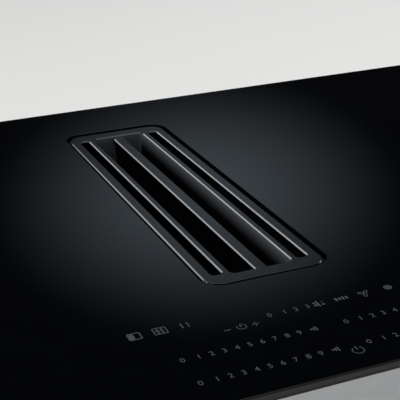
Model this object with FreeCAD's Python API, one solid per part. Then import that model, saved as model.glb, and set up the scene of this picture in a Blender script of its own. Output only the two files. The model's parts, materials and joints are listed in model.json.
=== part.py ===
"""Downdraft induction cooktop, 83 cm class, built as separate solids in millimetres.

Frame: +X to the right, +Y to the rear of the cooktop, +Z up. The origin is on the underside of
the lower housing, below the centre of the glass. Every piece is written to parts/NAME.step.
"""
import FreeCAD
import Part
import math
import os

Vec = FreeCAD.Vector
UP = Vec(0, 0, 1)

# ---- glass ---------------------------------------------------------------------------------
TOTAL_HEIGHT = 214.0
GLASS_WIDTH = 830.0
GLASS_DEPTH = 515.0
GLASS_THICKNESS = 4.0
GLASS_CORNER = 6.0
GLASS_CHAMFER = 0.8
SEAL_INSET = 2.0
SEAL_WIDTH = 8.0
SEAL_THICKNESS = 3.0

# ---- vent grille ---------------------------------------------------------------------------
VENT_TO_REAR_EDGE = 230.0
GRILLE_LENGTH = 316.6
GRILLE_WIDTH = 87.2
GRILLE_CORNER = 12.0
GRILLE_PLATE = 3.0
GRILLE_RECESS = 0.9
GRILLE_GAP = 2.8
GRILLE_CHAMFER = 0.7
SIDE_FLANGE = 7.9
NARROW_SLOT = 7.7
NARROW_SLOT_END = 14.8
NARROW_SLOT_CORNER = 2.2
SLOT_BAR = 5.3
THROAT_END = 12.3
THROAT_CORNER = 3.6
THROAT_DEPTH = 30.0
THROAT_WALL = 2.0
THROAT_DRAFT = 0.8
BLADE_WIDTH = 9.4
BLADE_FOOT = 3.6
BLADE_DEPTH = 27.0
BLADE_RECESS = 1.2
BLADE_SCREW_RADIUS = 1.4
BLADE_SCREW_DEPTHS = (9.0, 18.0)
BLADE_SCREW_REACH = 8.0
BLADE_SCREW_HEAD = 1.4
PAD_THICKNESS = 0.5
PAD_LENGTH = 24.0
PAD_SPREAD = 0.38
PAD_MARGIN = 0.3
SEAT_CLEARANCE = 0.3

# ---- vent collar ---------------------------------------------------------------------------
COLLAR_WALL = 3.0
COLLAR_LEDGE = 2.6
COLLAR_STEP = 3.0
COLLAR_FLANGE_REACH = 16.0
COLLAR_FLANGE = 2.5
COLLAR_SEAL = 2.0
COLLAR_SEAL_INSET = 2.0
COLLAR_SEAL_SETBACK = 1.2
CASSETTE_LEDGE_DEPTH = 38.0
COLLAR_INTO_HOUSING = 5.0

# ---- casing tray ---------------------------------------------------------------------------
TRAY_MARGIN_X = 27.0
TRAY_MARGIN_Y = 14.5
TRAY_HEIGHT = 52.5
TRAY_SHEET = 1.2
TRAY_CORNER = 6.0
TRAY_GLUE_GAP = 1.5
TRAY_CLEARANCE = 0.5
BRACKET_LENGTH = 40.0
BRACKET_LEG = 14.0
BRACKET_TAB_SIDE = 12.0
BRACKET_TAB_END = 9.0
INTAKE_SLOT = 4.0
INTAKE_PITCH = 8.0
INTAKE_INSET = 8.0
EXHAUST_SLOT = 5.0
EXHAUST_SLOTS = 10
EXHAUST_PITCH = 12.0
EXHAUST_RISE = 6.0
EXHAUST_HEADROOM = 12.0
BOARD_STANDOFF = 7.3
STANDOFF_RADIUS = 5.0

# ---- coils ---------------------------------------------------------------------------------
COIL_WIDTH = 232.0
COIL_DEPTH = 186.0
COIL_CUT = 52.0
COIL_BAND = 70.0
COIL_THICKNESS = 5.0
COIL_POST_CIRCLE = 72.0
COIL_X = 221.0
COIL_REAR_Y = 136.0
COIL_FRONT_Y = -62.0
FORMER_MARGIN = 4.0
FORMER_PLATE = 2.0
FORMER_RIM = 1.4
FERRITE_LENGTH = 60.0
FERRITE_START = 26.0
FERRITE_WIDTH = 14.0
FERRITE_HEIGHT = 5.0
FERRITES_PER_COIL = 8
MICA_THICKNESS = 0.7
SENSOR_RADIUS = 4.0
SENSOR_FOOT = 4.0
SENSOR_HOLE = 1.0
COIL_PLATE_WIDTH = 300.0
COIL_PLATE_DEPTH = 392.0
COIL_PLATE_SHEET = 1.5
POST_RADIUS = 4.0
COIL_PLATE_DROP = 22.0

# ---- electronics ---------------------------------------------------------------------------
BOARD_X = 230.0
BOARD_Y = 25.0
BOARD_WIDTH = 276.0
BOARD_DEPTH = 230.0
BOARD_THICKNESS = 1.6
CAPACITOR_X = 150.0
CAPACITOR_SIZE = (32.0, 16.0, 16.0)
CAPACITOR_PITCH = 50.0
CAPACITORS_PER_BOARD = 4
CHOKE_X = 330.0
CHOKE_SIZE = (34.0, 28.0, 12.0)
CHOKE_LEG = 8.0
CHOKE_PITCH = 80.0
SINK_X = 250.0
SINK_WIDTH = 68.0
SINK_LENGTH = 200.0
SINK_HEIGHT = 17.0
SINK_BASE = 4.0
SINK_FINS = 9
SINK_FIN = 1.6
BLOWER_X = 250.0
BLOWER_Y = -150.0
BLOWER_SIZE = 84.0
BLOWER_HEIGHT = 22.0
BLOWER_WALL = 2.0
BLOWER_BORE = 38.0
BLOWER_WHEEL = 34.0
BLOWER_INLET = 26.0
BLOWER_BLADES = 16
PIN_RADIUS = 2.0
RUNNING_CLEARANCE = 0.05
TOUCH_FROM_FRONT = 52.5
TOUCH_WIDTH = 270.0
TOUCH_DEPTH = 70.0
TOUCH_PAD = 6.0
TOUCH_PAD_PITCH = 24.0
TOUCH_PAD_HEIGHT = 2.4
TERMINAL_X = -324.0
TERMINAL_Y = 186.0
TERMINAL_WIDTH = 96.0
TERMINAL_DEPTH = 72.0
TERMINAL_DROP = 30.0
TERMINAL_WALL = 2.0
GLAND_BORE = 6.5
GLAND_OUTER = 8.2
GLAND_SIDES = 16
GLAND_COLLAR = 11.0
GLAND_LENGTH = 18.0
SPRING_Y = 150.0
SPRING_WIDTH = 24.0
SPRING_SHEET = 1.0
SPRING_BOW = 5.0

# ---- lower housing -------------------------------------------------------------------------
HOUSING_LEFT = -66.0
HOUSING_RIGHT = 366.0
CHAMBER_REACH = 177.5
HOUSING_STEP = 15.0
DIVIDER_X = 62.0
HOUSING_WALL = 3.0
HOUSING_CORNER = 14.0
HOUSING_STEP_CORNER = 6.0
HOUSING_FLANGE = 8.0
HOUSING_BEVEL = 3.0
FLANGE_SCREW = 1.8
DECK_SCREW = 2.0
DECK_SCREW_INSET = 14.0
SCREW_HEAD_HEIGHT = 2.4
COVER_SHEET = 2.5
DECK_SHEET = 3.0
DECK_CLEARANCE = 0.4
RIB_PITCH = 60.0
RIB_DEPTH = 5.0
RIB_WIDTH = 2.0
RIB_FOOT = 16.0

# ---- fan -----------------------------------------------------------------------------------
FAN_FROM_DIVIDER = 126.0
FAN_FROM_VENT = 32.5
FAN_RADIUS = 94.0
FAN_INNER = 76.0
FAN_RING_INNER = 69.0
FAN_BLADES = 30
FAN_BLADE_SHEET = 1.4
FAN_BLADE_LEAN = 8.0
FAN_SHEET = 2.0
FAN_BOTTOM = 16.0
FAN_HEIGHT = 72.0
SCROLL_HEIGHT = 93.0
SCROLL_START = 107.0
SCROLL_END = 152.0
TONGUE_ANGLE = 100.0
INLET_RADIUS = 62.0
INLET_LIP = 12.0
INLET_SHEET = 2.5
INLET_DIP = 11.0
INLET_SIDES = 36
ROTOR_RADIUS = 46.0
ROTOR_WALL = 3.0
ROTOR_GAP = 2.0
ROTOR_BOTTOM = 24.0
STATOR_RADIUS = 40.0
STATOR_BORE = 13.0
STATOR_HEIGHT = 20.0
STATOR_SLOTS = 9
SHAFT_RADIUS = 4.0
MOUNT_RADIUS = 8.0
MOUNT_HEIGHT = 7.0
MOUNT_CIRCLE = 40.0
BRACKET_DISC = 52.0

# ---- duct outlet ---------------------------------------------------------------------------
DUCT_WIDTH = 222.0
DUCT_HEIGHT = 89.0
DUCT_CORNER = 10.0
DUCT_WALL = 2.5
DUCT_LENGTH = 30.0
DUCT_FLANGE = 14.0
DUCT_HOLE_RADIUS = 2.1
DUCT_HOLE_INSET = 6.0
DUCT_HOLE_RISE = 32.0

# ---- filter and drip tray ------------------------------------------------------------------
LIFT_CLEARANCE = 0.5
RIM_THICKNESS = 3.0
FILTER_BODY_INSET = 2.2
FILTER_WALL = 2.0
FILTER_DEPTH = 92.0
FILTER_FOOT = 24.0
FILTER_WINDOWS = 5
FILTER_RIB = 8.0
WINDOW_SILL = 16.0
WINDOW_HEAD = 10.0
GRIP_HALF = 5.0
MESH_THICKNESS = 4.0
MESH_SLOTS = 7
DRIP_HEIGHT = 46.0
DRIP_WALL = 1.6
DRIP_TAPER = 4.0

# ---- levels and places that follow from the sizes above ------------------------------------
GLASS_BOTTOM = TOTAL_HEIGHT - GLASS_THICKNESS
VENT_Y = GLASS_DEPTH / 2 - VENT_TO_REAR_EDGE
HOUSING_FRONT = VENT_Y - CHAMBER_REACH
CHAMBER_REAR = VENT_Y + CHAMBER_REACH
HOUSING_REAR = CHAMBER_REAR + HOUSING_STEP
FAN_X = DIVIDER_X + FAN_FROM_DIVIDER
FAN_Y = VENT_Y - FAN_FROM_VENT
TOUCH_Y = TOUCH_FROM_FRONT - GLASS_DEPTH / 2
TRAY_WIDTH = GLASS_WIDTH - 2 * TRAY_MARGIN_X
TRAY_DEPTH = GLASS_DEPTH - 2 * TRAY_MARGIN_Y
GRILLE_TOP = TOTAL_HEIGHT - GRILLE_RECESS
GRILLE_BOTTOM = GRILLE_TOP - GRILLE_PLATE
CUTOUT_X = GRILLE_WIDTH / 2 + GRILLE_GAP
CUTOUT_Y = GRILLE_LENGTH / 2 + GRILLE_GAP
CUTOUT_CORNER = GRILLE_CORNER + GRILLE_GAP
THROAT_X = GRILLE_WIDTH / 2 - SIDE_FLANGE - NARROW_SLOT - SLOT_BAR
THROAT_Y = GRILLE_LENGTH / 2 - THROAT_END
THROAT_FOOT = GRILLE_TOP - THROAT_DEPTH
LEDGE_TOP = GRILLE_BOTTOM - PAD_THICKNESS - SEAT_CLEARANCE
UPPER_X = GRILLE_WIDTH / 2 - COLLAR_LEDGE
UPPER_Y = GRILLE_LENGTH / 2 - COLLAR_LEDGE
UPPER_CORNER = GRILLE_CORNER - COLLAR_LEDGE
LOWER_X = UPPER_X - COLLAR_STEP
LOWER_Y = UPPER_Y - COLLAR_STEP
LOWER_CORNER = UPPER_CORNER - COLLAR_STEP
COLLAR_X = UPPER_X + COLLAR_WALL
COLLAR_Y = UPPER_Y + COLLAR_WALL
COLLAR_CORNER = UPPER_CORNER + COLLAR_WALL
CASSETTE_LEDGE = TOTAL_HEIGHT - CASSETTE_LEDGE_DEPTH
TRAY_BOTTOM = GLASS_BOTTOM - TRAY_HEIGHT
TRAY_FLOOR = TRAY_BOTTOM + TRAY_SHEET
TRAY_RIM = GLASS_BOTTOM - TRAY_GLUE_GAP
HOUSING_TOP = TRAY_BOTTOM - COVER_SHEET
DECK_BOTTOM = HOUSING_WALL + SCROLL_HEIGHT
DECK_TOP = DECK_BOTTOM + DECK_SHEET
COIL_TOP = GLASS_BOTTOM - MICA_THICKNESS - 0.1
FORMER_TOP = COIL_TOP - COIL_THICKNESS
COIL_PLATE_TOP = GLASS_BOTTOM - COIL_PLATE_DROP
BOARD_BOTTOM = TRAY_FLOOR + BOARD_STANDOFF
BOARD_TOP = BOARD_BOTTOM + BOARD_THICKNESS
COIL_PLATE_Y = (COIL_REAR_Y + COIL_FRONT_Y) / 2
DUCT_X = FAN_X + SCROLL_END - DUCT_WIDTH / 2
DUCT_Z = HOUSING_WALL + SCROLL_HEIGHT / 2 - 1.0
ROTOR_TOP = ROTOR_BOTTOM + 36.0
BRACKET_BOTTOM = HOUSING_WALL + MOUNT_HEIGHT
SIDES = {"left": -1, "right": 1}
COILS = {
    "rear_left": (-COIL_X, COIL_REAR_Y),
    "rear_right": (COIL_X, COIL_REAR_Y),
    "front_left": (-COIL_X, COIL_FRONT_Y),
    "front_right": (COIL_X, COIL_FRONT_Y),
}


# ---- outlines and simple solids ------------------------------------------------------------
def rounded_outline(points, radius, z):
    """Closed flat wire through the (x, y) points at height z.

    Every corner is an arc. The radius is one number for all corners, or a list with one for each.
    """
    corners = [Vec(x, y, z) for x, y in points]
    radii = radius if isinstance(radius, list) else [radius] * len(corners)
    starts = []
    edges = []
    for index, corner in enumerate(corners):
        to_last = corners[index - 1] - corner
        to_next = corners[(index + 1) % len(corners)] - corner
        to_last.normalize()
        to_next.normalize()
        half_angle = math.acos(max(-1.0, min(1.0, to_last.dot(to_next)))) / 2
        bend = radii[index]
        reach = bend / math.tan(half_angle)
        bisector = to_last + to_next
        bisector.normalize()
        middle = corner + bisector * (bend / math.sin(half_angle) - bend)
        starts.append((corner + to_last * reach, middle, corner + to_next * reach))
    for index, (start, middle, end) in enumerate(starts):
        if radii[index] > 0:
            edges.append(Part.Arc(start, middle, end).toShape())
        following = starts[(index + 1) % len(starts)][0]
        edges.append(Part.LineSegment(end, following).toShape())
    return Part.Wire(edges)


def rectangle(x, y, half_x, half_y, radius, z):
    """Rounded rectangle wire about (x, y)."""
    points = [
        (x - half_x, y - half_y),
        (x + half_x, y - half_y),
        (x + half_x, y + half_y),
        (x - half_x, y + half_y),
    ]
    return rounded_outline(points, radius, z)


def prism(wire, height):
    """Solid that a closed flat wire sweeps upwards."""
    return Part.Face(wire).extrude(Vec(0, 0, height))


def block(x, y, half_x, half_y, radius, z_low, z_high):
    """Upright rounded block about (x, y)."""
    return prism(rectangle(x, y, half_x, half_y, radius, z_low), z_high - z_low)


def box(x_low, x_high, y_low, y_high, z_low, z_high):
    """Plain box from its limits."""
    return Part.makeBox(x_high - x_low, y_high - y_low, z_high - z_low, Vec(x_low, y_low, z_low))


def frame_ring(x, y, half_x, half_y, radius, width, z_low, z_high):
    """Rounded rectangular ring whose outside is the given outline."""
    outside = block(x, y, half_x, half_y, radius, z_low, z_high)
    inner_radius = max(radius - width, 0.5)
    return outside.cut(block(x, y, half_x - width, half_y - width, inner_radius, z_low, z_high))


def rod(x, y, radius, z_low, z_high):
    """Upright cylinder."""
    return Part.makeCylinder(radius, z_high - z_low, Vec(x, y, z_low))


def facet_rod(x, y, radius, sides, z_low, z_high):
    """Upright prism with flat sides, for small hidden round pieces and hexagon screws."""
    corners = []
    for step in range(sides + 1):
        angle = 2 * math.pi * step / sides
        corners.append(Vec(x + radius * math.cos(angle), y + radius * math.sin(angle), z_low))
    return prism(Part.makePolygon(corners), z_high - z_low)


def facet_turn(x, y, section, sides):
    """Solid that a (radius, z) section makes round an upright axis, with flat sides.

    A point of the section may lie on the axis, with radius 0.
    """
    rings = []
    for radius, z in section:
        ring = []
        for step in range(sides + 1):
            angle = 2 * math.pi * step / sides
            ring.append(Vec(x + radius * math.cos(angle), y + radius * math.sin(angle), z))
        rings.append(ring)
    faces = []
    for index, ring in enumerate(rings):
        following = rings[(index + 1) % len(rings)]
        for step in range(sides):
            corners = [ring[step], ring[step + 1], following[step + 1], following[step]]
            outline = []
            for corner in corners:
                if not outline or corner.distanceToPoint(outline[-1]) > 1e-7:
                    outline.append(corner)
            if len(outline) > 1 and outline[0].distanceToPoint(outline[-1]) < 1e-7:
                outline.pop()
            if len(outline) > 2:
                faces.append(Part.Face(Part.makePolygon(outline + outline[:1])))
    solid = Part.makeSolid(Part.makeShell(faces))
    if solid.Volume < 0:
        solid.reverse()
    return solid.removeSplitter()


def facet_cone(x, y, radius_low, radius_high, sides, z_low, z_high):
    """Upright tapered prism with flat sides."""
    section = [(0.0, z_low), (radius_low, z_low), (radius_high, z_high), (0.0, z_high)]
    return facet_turn(x, y, section, sides)


def facet_pin(start, direction, radius, length, sides=6):
    """Flat-sided pin that leaves the start point in a horizontal direction."""
    pin = facet_rod(0, 0, radius, sides, 0, length)
    turn = FreeCAD.Rotation(UP, direction)
    pin.Placement = FreeCAD.Placement(start, turn)
    return pin


def octagon(x, y, half_x, half_y, cut, z_low, z_high):
    """Upright block on a rectangle whose corners are cut off at 45 degrees."""
    points = [
        (x - half_x + cut, y - half_y),
        (x + half_x - cut, y - half_y),
        (x + half_x, y - half_y + cut),
        (x + half_x, y + half_y - cut),
        (x + half_x - cut, y + half_y),
        (x - half_x + cut, y + half_y),
        (x - half_x, y + half_y - cut),
        (x - half_x, y - half_y + cut),
    ]
    return prism(rounded_outline(points, 0.0, z_low), z_high - z_low)


def octagon_ring(x, y, half_x, half_y, cut, width, z_low, z_high):
    """Ring between an octagon and the same octagon moved inwards by the width."""
    outside = octagon(x, y, half_x, half_y, cut, z_low, z_high)
    inner_cut = cut - width * (2 - math.sqrt(2))
    return outside.cut(octagon(x, y, half_x - width, half_y - width, inner_cut, z_low, z_high))


def profile_x(points, y_low, y_high):
    """Solid with the given (x, z) section, running along Y."""
    wire = Part.makePolygon([Vec(x, y_low, z) for x, z in points + points[:1]])
    return Part.Face(wire).extrude(Vec(0, y_high - y_low, 0))


def chamfer_level(solid, z, size):
    """Chamfer of every edge that lies flat at height z."""
    edges = []
    for edge in solid.Edges:
        limits = edge.BoundBox
        if abs(limits.ZMin - z) < 1e-6 and abs(limits.ZMax - z) < 1e-6:
            edges.append(edge)
    return solid.makeChamfer(size, edges)


def fuse_all(solids):
    """One solid from pieces that touch or overlap."""
    return solids[0].multiFuse(solids[1:]).removeSplitter()


def screw(x, y, z_seat, shank_radius, length, head_radius, head_height, down=True):
    """Hexagon screw whose head stands on z_seat; its shank runs down, or up when down is False."""
    if down:
        shank = facet_rod(x, y, shank_radius, 6, z_seat - length, z_seat)
        head = facet_rod(x, y, head_radius, 6, z_seat, z_seat + head_height)
    else:
        shank = facet_rod(x, y, shank_radius, 6, z_seat, z_seat + length)
        head = facet_rod(x, y, head_radius, 6, z_seat - head_height, z_seat)
    return shank.fuse(head).removeSplitter()


def save(name, solids):
    """Write one solid, or a group of separate solids, to its own file."""
    group = solids if isinstance(solids, list) else [solids]
    shape = group[0] if len(group) == 1 else Part.makeCompound(group)
    shape.exportStep(os.path.join("parts", name + ".step"))


# ---- glass and seals -----------------------------------------------------------------------
def glass_plate():
    """Black glass with its vent cut-out and fine bevels round the top edges."""
    plate = block(0, 0, GLASS_WIDTH / 2, GLASS_DEPTH / 2, GLASS_CORNER, GLASS_BOTTOM, TOTAL_HEIGHT)
    cutout = block(0, VENT_Y, CUTOUT_X, CUTOUT_Y, CUTOUT_CORNER, GLASS_BOTTOM, TOTAL_HEIGHT)
    return chamfer_level(plate.cut(cutout), TOTAL_HEIGHT, GLASS_CHAMFER)


def glass_seal():
    """Foam ring under the rim of the glass; its underside lies on the worktop."""
    half_x = GLASS_WIDTH / 2 - SEAL_INSET
    half_y = GLASS_DEPTH / 2 - SEAL_INSET
    low = GLASS_BOTTOM - SEAL_THICKNESS
    return frame_ring(0, 0, half_x, half_y, GLASS_CORNER, SEAL_WIDTH, low, GLASS_BOTTOM)


# ---- vent grille ---------------------------------------------------------------------------
def throat_outline(margin, z, draft):
    """Outline of the wide throat, grown by a margin and drawn in by the draft."""
    half_x = THROAT_X + margin - draft
    return rectangle(0, VENT_Y, half_x, THROAT_Y + margin, THROAT_CORNER + margin, z)


def throat_funnel(margin, z_high):
    """Drafted solid that fills the throat from z_high to its foot."""
    high = throat_outline(margin, z_high, 0.0)
    low = throat_outline(margin, THROAT_FOOT, THROAT_DRAFT)
    return Part.makeLoft([high, low], True, True)


def blade_screw_places():
    """Ends and heights of the screws that hold the blade: (direction along Y, z)."""
    return [(end, GRILLE_TOP - depth) for end in (-1, 1) for depth in BLADE_SCREW_DEPTHS]


def grille_frame():
    """Flush vent plate: flange, two narrow slots, and a wide throat with walls that run down."""
    plate = block(
        0, VENT_Y, GRILLE_WIDTH / 2, GRILLE_LENGTH / 2, GRILLE_CORNER, GRILLE_BOTTOM, GRILLE_TOP
    )
    frame = plate.fuse(throat_funnel(THROAT_WALL, GRILLE_TOP - GRILLE_PLATE / 2))
    frame = frame.cut(throat_funnel(0.0, GRILLE_TOP))
    slot_x = THROAT_X + SLOT_BAR + NARROW_SLOT / 2
    for side in (-1, 1):
        slot = block(
            side * slot_x,
            VENT_Y,
            NARROW_SLOT / 2,
            GRILLE_LENGTH / 2 - NARROW_SLOT_END,
            NARROW_SLOT_CORNER,
            GRILLE_BOTTOM - 1.0,
            GRILLE_TOP,
        )
        frame = frame.cut(slot)
    frame = chamfer_level(frame.removeSplitter(), GRILLE_TOP, GRILLE_CHAMFER)
    for end, z in blade_screw_places():
        start = Vec(0, VENT_Y + end * (THROAT_Y - 1.0), z)
        frame = frame.cut(facet_pin(start, Vec(0, end, 0), BLADE_SCREW_RADIUS, THROAT_WALL + 2.0))
    return frame


def grille_blade():
    """Deep blade along the middle of the throat, tapered downwards, bevelled along the top."""
    top = GRILLE_TOP - BLADE_RECESS
    half = BLADE_WIDTH / 2
    bevel = GRILLE_CHAMFER
    section = [
        (-half + bevel, top),
        (half - bevel, top),
        (half, top - bevel),
        (BLADE_FOOT / 2, top - BLADE_DEPTH),
        (-BLADE_FOOT / 2, top - BLADE_DEPTH),
        (-half, top - bevel),
    ]
    blade = profile_x(section, VENT_Y - THROAT_Y, VENT_Y + THROAT_Y)
    for end, z in blade_screw_places():
        start = Vec(0, VENT_Y + end * THROAT_Y, z)
        blade = blade.cut(facet_pin(start, Vec(0, -end, 0), BLADE_SCREW_RADIUS, BLADE_SCREW_REACH + 1.0))
    return blade


def grille_screws():
    """Four small screws through the end walls of the throat into the blade."""
    screws = []
    for end, z in blade_screw_places():
        seat = Vec(0, VENT_Y + end * (THROAT_Y + THROAT_WALL), z)
        shank = facet_pin(seat, Vec(0, -end, 0), BLADE_SCREW_RADIUS, THROAT_WALL + BLADE_SCREW_REACH)
        head = facet_pin(seat, Vec(0, end, 0), BLADE_SCREW_RADIUS * 2, BLADE_SCREW_HEAD)
        screws.append(shank.fuse(head).removeSplitter())
    return screws


def grille_pads():
    """Soft pads under the flange, over the ledge of the collar."""
    x = (UPPER_X + GRILLE_WIDTH / 2) / 2
    half_width = COLLAR_LEDGE / 2 - PAD_MARGIN
    pads = []
    for side in (-1, 1):
        for share in (-PAD_SPREAD, 0.0, PAD_SPREAD):
            y = VENT_Y + share * GRILLE_LENGTH
            pads.append(
                box(
                    side * x - half_width,
                    side * x + half_width,
                    y - PAD_LENGTH / 2,
                    y + PAD_LENGTH / 2,
                    GRILLE_BOTTOM - PAD_THICKNESS,
                    GRILLE_BOTTOM,
                )
            )
    return pads


# ---- collar --------------------------------------------------------------------------------
def hood_collar():
    """Moulded sleeve under the cut-out: flange, ledge for the grille, ledge for the cassette."""
    flange_top = GLASS_BOTTOM - COLLAR_SEAL
    sleeve_bottom = HOUSING_TOP - COLLAR_INTO_HOUSING
    flange = block(
        0,
        VENT_Y,
        COLLAR_X + COLLAR_FLANGE_REACH,
        COLLAR_Y + COLLAR_FLANGE_REACH,
        COLLAR_CORNER + COLLAR_FLANGE_REACH / 2,
        flange_top - COLLAR_FLANGE,
        flange_top,
    )
    sleeve = block(0, VENT_Y, COLLAR_X, COLLAR_Y, COLLAR_CORNER, sleeve_bottom, LEDGE_TOP)
    lip = block(
        0,
        VENT_Y,
        CUTOUT_X - SEAT_CLEARANCE,
        CUTOUT_Y - SEAT_CLEARANCE,
        CUTOUT_CORNER - SEAT_CLEARANCE,
        flange_top - COLLAR_FLANGE,
        LEDGE_TOP,
    )
    collar = flange.multiFuse([sleeve, lip])
    upper = block(0, VENT_Y, UPPER_X, UPPER_Y, UPPER_CORNER, CASSETTE_LEDGE, LEDGE_TOP)
    lower = block(0, VENT_Y, LOWER_X, LOWER_Y, LOWER_CORNER, sleeve_bottom, CASSETTE_LEDGE)
    return collar.cut(upper).cut(lower).removeSplitter()


def collar_seal():
    """Flat seal between the collar flange and the underside of the glass."""
    reach = COLLAR_FLANGE_REACH - COLLAR_SEAL_INSET
    width = COLLAR_X + reach - CUTOUT_X - COLLAR_SEAL_SETBACK
    return frame_ring(
        0,
        VENT_Y,
        COLLAR_X + reach,
        COLLAR_Y + reach,
        COLLAR_CORNER + COLLAR_FLANGE_REACH / 2,
        width,
        GLASS_BOTTOM - COLLAR_SEAL,
        GLASS_BOTTOM,
    )


# ---- casing tray ---------------------------------------------------------------------------
def vent_passage(z_low, z_high):
    """Space that the collar sleeve passes through, with its clearance."""
    return block(
        0,
        VENT_Y,
        COLLAR_X + TRAY_CLEARANCE,
        COLLAR_Y + TRAY_CLEARANCE,
        COLLAR_CORNER + TRAY_CLEARANCE,
        z_low,
        z_high,
    )


def board_standoffs():
    """Places of the embossed posts below both power boards."""
    places = []
    for side in SIDES.values():
        for share_x in (-1, 1):
            for share_y in (-1, 0, 1):
                x = side * BOARD_X + share_x * (BOARD_WIDTH / 2 - 10.0)
                y = BOARD_Y + share_y * (BOARD_DEPTH / 2 - 12.0)
                places.append((x, y))
    return places


def terminal_window(z_low, z_high):
    """Opening in the tray floor between the terminal block and its cover."""
    return box(
        TERMINAL_X - TERMINAL_WIDTH / 2 + 8.0,
        TERMINAL_X - 2.0,
        TERMINAL_Y - TERMINAL_DEPTH / 2 + 8.0,
        TERMINAL_Y + TERMINAL_DEPTH / 2 - 8.0,
        z_low,
        z_high,
    )


def casing_tray():
    """Folded steel tray with embossed board posts, air slots and the vent passage."""
    half_x = TRAY_WIDTH / 2
    half_y = TRAY_DEPTH / 2
    shell = block(0, 0, half_x, half_y, TRAY_CORNER, TRAY_BOTTOM, TRAY_RIM)
    inside = block(
        0,
        0,
        half_x - TRAY_SHEET,
        half_y - TRAY_SHEET,
        TRAY_CORNER - TRAY_SHEET,
        TRAY_FLOOR,
        TRAY_RIM,
    )
    tray = shell.cut(inside)
    half = STANDOFF_RADIUS
    posts = [
        box(x - half, x + half, y - half, y + half, TRAY_FLOOR, BOARD_BOTTOM)
        for x, y in board_standoffs()
    ]
    tray = tray.multiFuse(posts)
    holes = [vent_passage(TRAY_BOTTOM, TRAY_FLOOR), terminal_window(TRAY_BOTTOM, TRAY_FLOOR)]
    for side in SIDES.values():
        for step in range(-2, 3):
            x = side * BLOWER_X + step * INTAKE_PITCH
            half = INTAKE_SLOT / 2
            reach = BLOWER_INLET - INTAKE_INSET
            holes.append(
                box(x - half, x + half, BLOWER_Y - reach, BLOWER_Y + reach, TRAY_BOTTOM, TRAY_FLOOR)
            )
        for step in range(EXHAUST_SLOTS):
            x = side * (SINK_X + (step - (EXHAUST_SLOTS - 1) / 2) * EXHAUST_PITCH)
            half = EXHAUST_SLOT / 2
            low = TRAY_FLOOR + EXHAUST_RISE
            high = BOARD_TOP + EXHAUST_HEADROOM
            holes.append(box(x - half, x + half, half_y - 2 * TRAY_SHEET, half_y, low, high))
    return tray.cut(Part.makeCompound(holes)).removeSplitter()


def glass_brackets():
    """Steel angles that bond the glass to the tray walls."""
    brackets = []
    inner_x = TRAY_WIDTH / 2 - TRAY_SHEET
    inner_y = TRAY_DEPTH / 2 - TRAY_SHEET
    half = BRACKET_LENGTH / 2
    top = GLASS_BOTTOM
    foot = top - BRACKET_LEG
    leaf = TRAY_SHEET
    for side in SIDES.values():
        for y in (-TRAY_DEPTH / 4, TRAY_DEPTH / 4):
            wall = box(
                min(side * (inner_x - leaf), side * inner_x),
                max(side * (inner_x - leaf), side * inner_x),
                y - half,
                y + half,
                foot,
                top,
            )
            tab = box(
                min(side * (inner_x - BRACKET_TAB_SIDE), side * (inner_x - leaf)),
                max(side * (inner_x - BRACKET_TAB_SIDE), side * (inner_x - leaf)),
                y - half,
                y + half,
                top - leaf,
                top,
            )
            brackets.append(wall.fuse(tab).removeSplitter())
    for end in (-1, 1):
        for x in (-TRAY_WIDTH / 3.2, TRAY_WIDTH / 3.2):
            wall = box(
                x - half,
                x + half,
                min(end * (inner_y - leaf), end * inner_y),
                max(end * (inner_y - leaf), end * inner_y),
                foot,
                top,
            )
            tab = box(
                x - half,
                x + half,
                min(end * (inner_y - BRACKET_TAB_END), end * (inner_y - leaf)),
                max(end * (inner_y - BRACKET_TAB_END), end * (inner_y - leaf)),
                top - leaf,
                top,
            )
            brackets.append(wall.fuse(tab).removeSplitter())
    return brackets


def worktop_springs():
    """Bowed leaf springs on the side walls that wedge the tray in the worktop cut-out."""
    wall = TRAY_WIDTH / 2
    top = TRAY_RIM - 4.0
    section = [
        (wall, top),
        (wall + SPRING_SHEET, top),
        (wall + SPRING_SHEET, top - 18.0),
        (wall + SPRING_BOW + SPRING_SHEET, top - 30.0),
        (wall + SPRING_SHEET + 1.0, top - 41.0),
        (wall + 1.0, top - 41.0),
        (wall + SPRING_BOW, top - 30.0),
        (wall, top - 18.6),
    ]
    springs = []
    for side in SIDES.values():
        for end in (-1, 1):
            points = [(side * x, z) for x, z in section]
            low = end * SPRING_Y - SPRING_WIDTH / 2
            leaf = profile_x(points, low, low + SPRING_WIDTH)
            start = Vec(side * wall, end * SPRING_Y, top - 9.0)
            springs.append(leaf.cut(facet_pin(start, Vec(side, 0, 0), 2.0, SPRING_SHEET + 1.0)))
    return springs


def spring_screws():
    """Flat-headed screws that hold the leaf springs."""
    screws = []
    wall = TRAY_WIDTH / 2
    z = TRAY_RIM - 13.0
    for side in SIDES.values():
        for end in (-1, 1):
            seat = Vec(side * (wall + SPRING_SHEET), end * SPRING_Y, z)
            head = facet_pin(seat, Vec(side, 0, 0), 4.0, 1.2)
            shank = facet_pin(seat, Vec(-side, 0, 0), 1.9, SPRING_SHEET)
            screws.append(head.fuse(shank).removeSplitter())
    return screws


# ---- coils ---------------------------------------------------------------------------------
def coil_winding(x, y):
    """Flat eight-sided winding, a ring as thick as its stranded wire."""
    return octagon_ring(
        x, y, COIL_WIDTH / 2, COIL_DEPTH / 2, COIL_CUT, COIL_BAND, FORMER_TOP, COIL_TOP
    )


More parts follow.
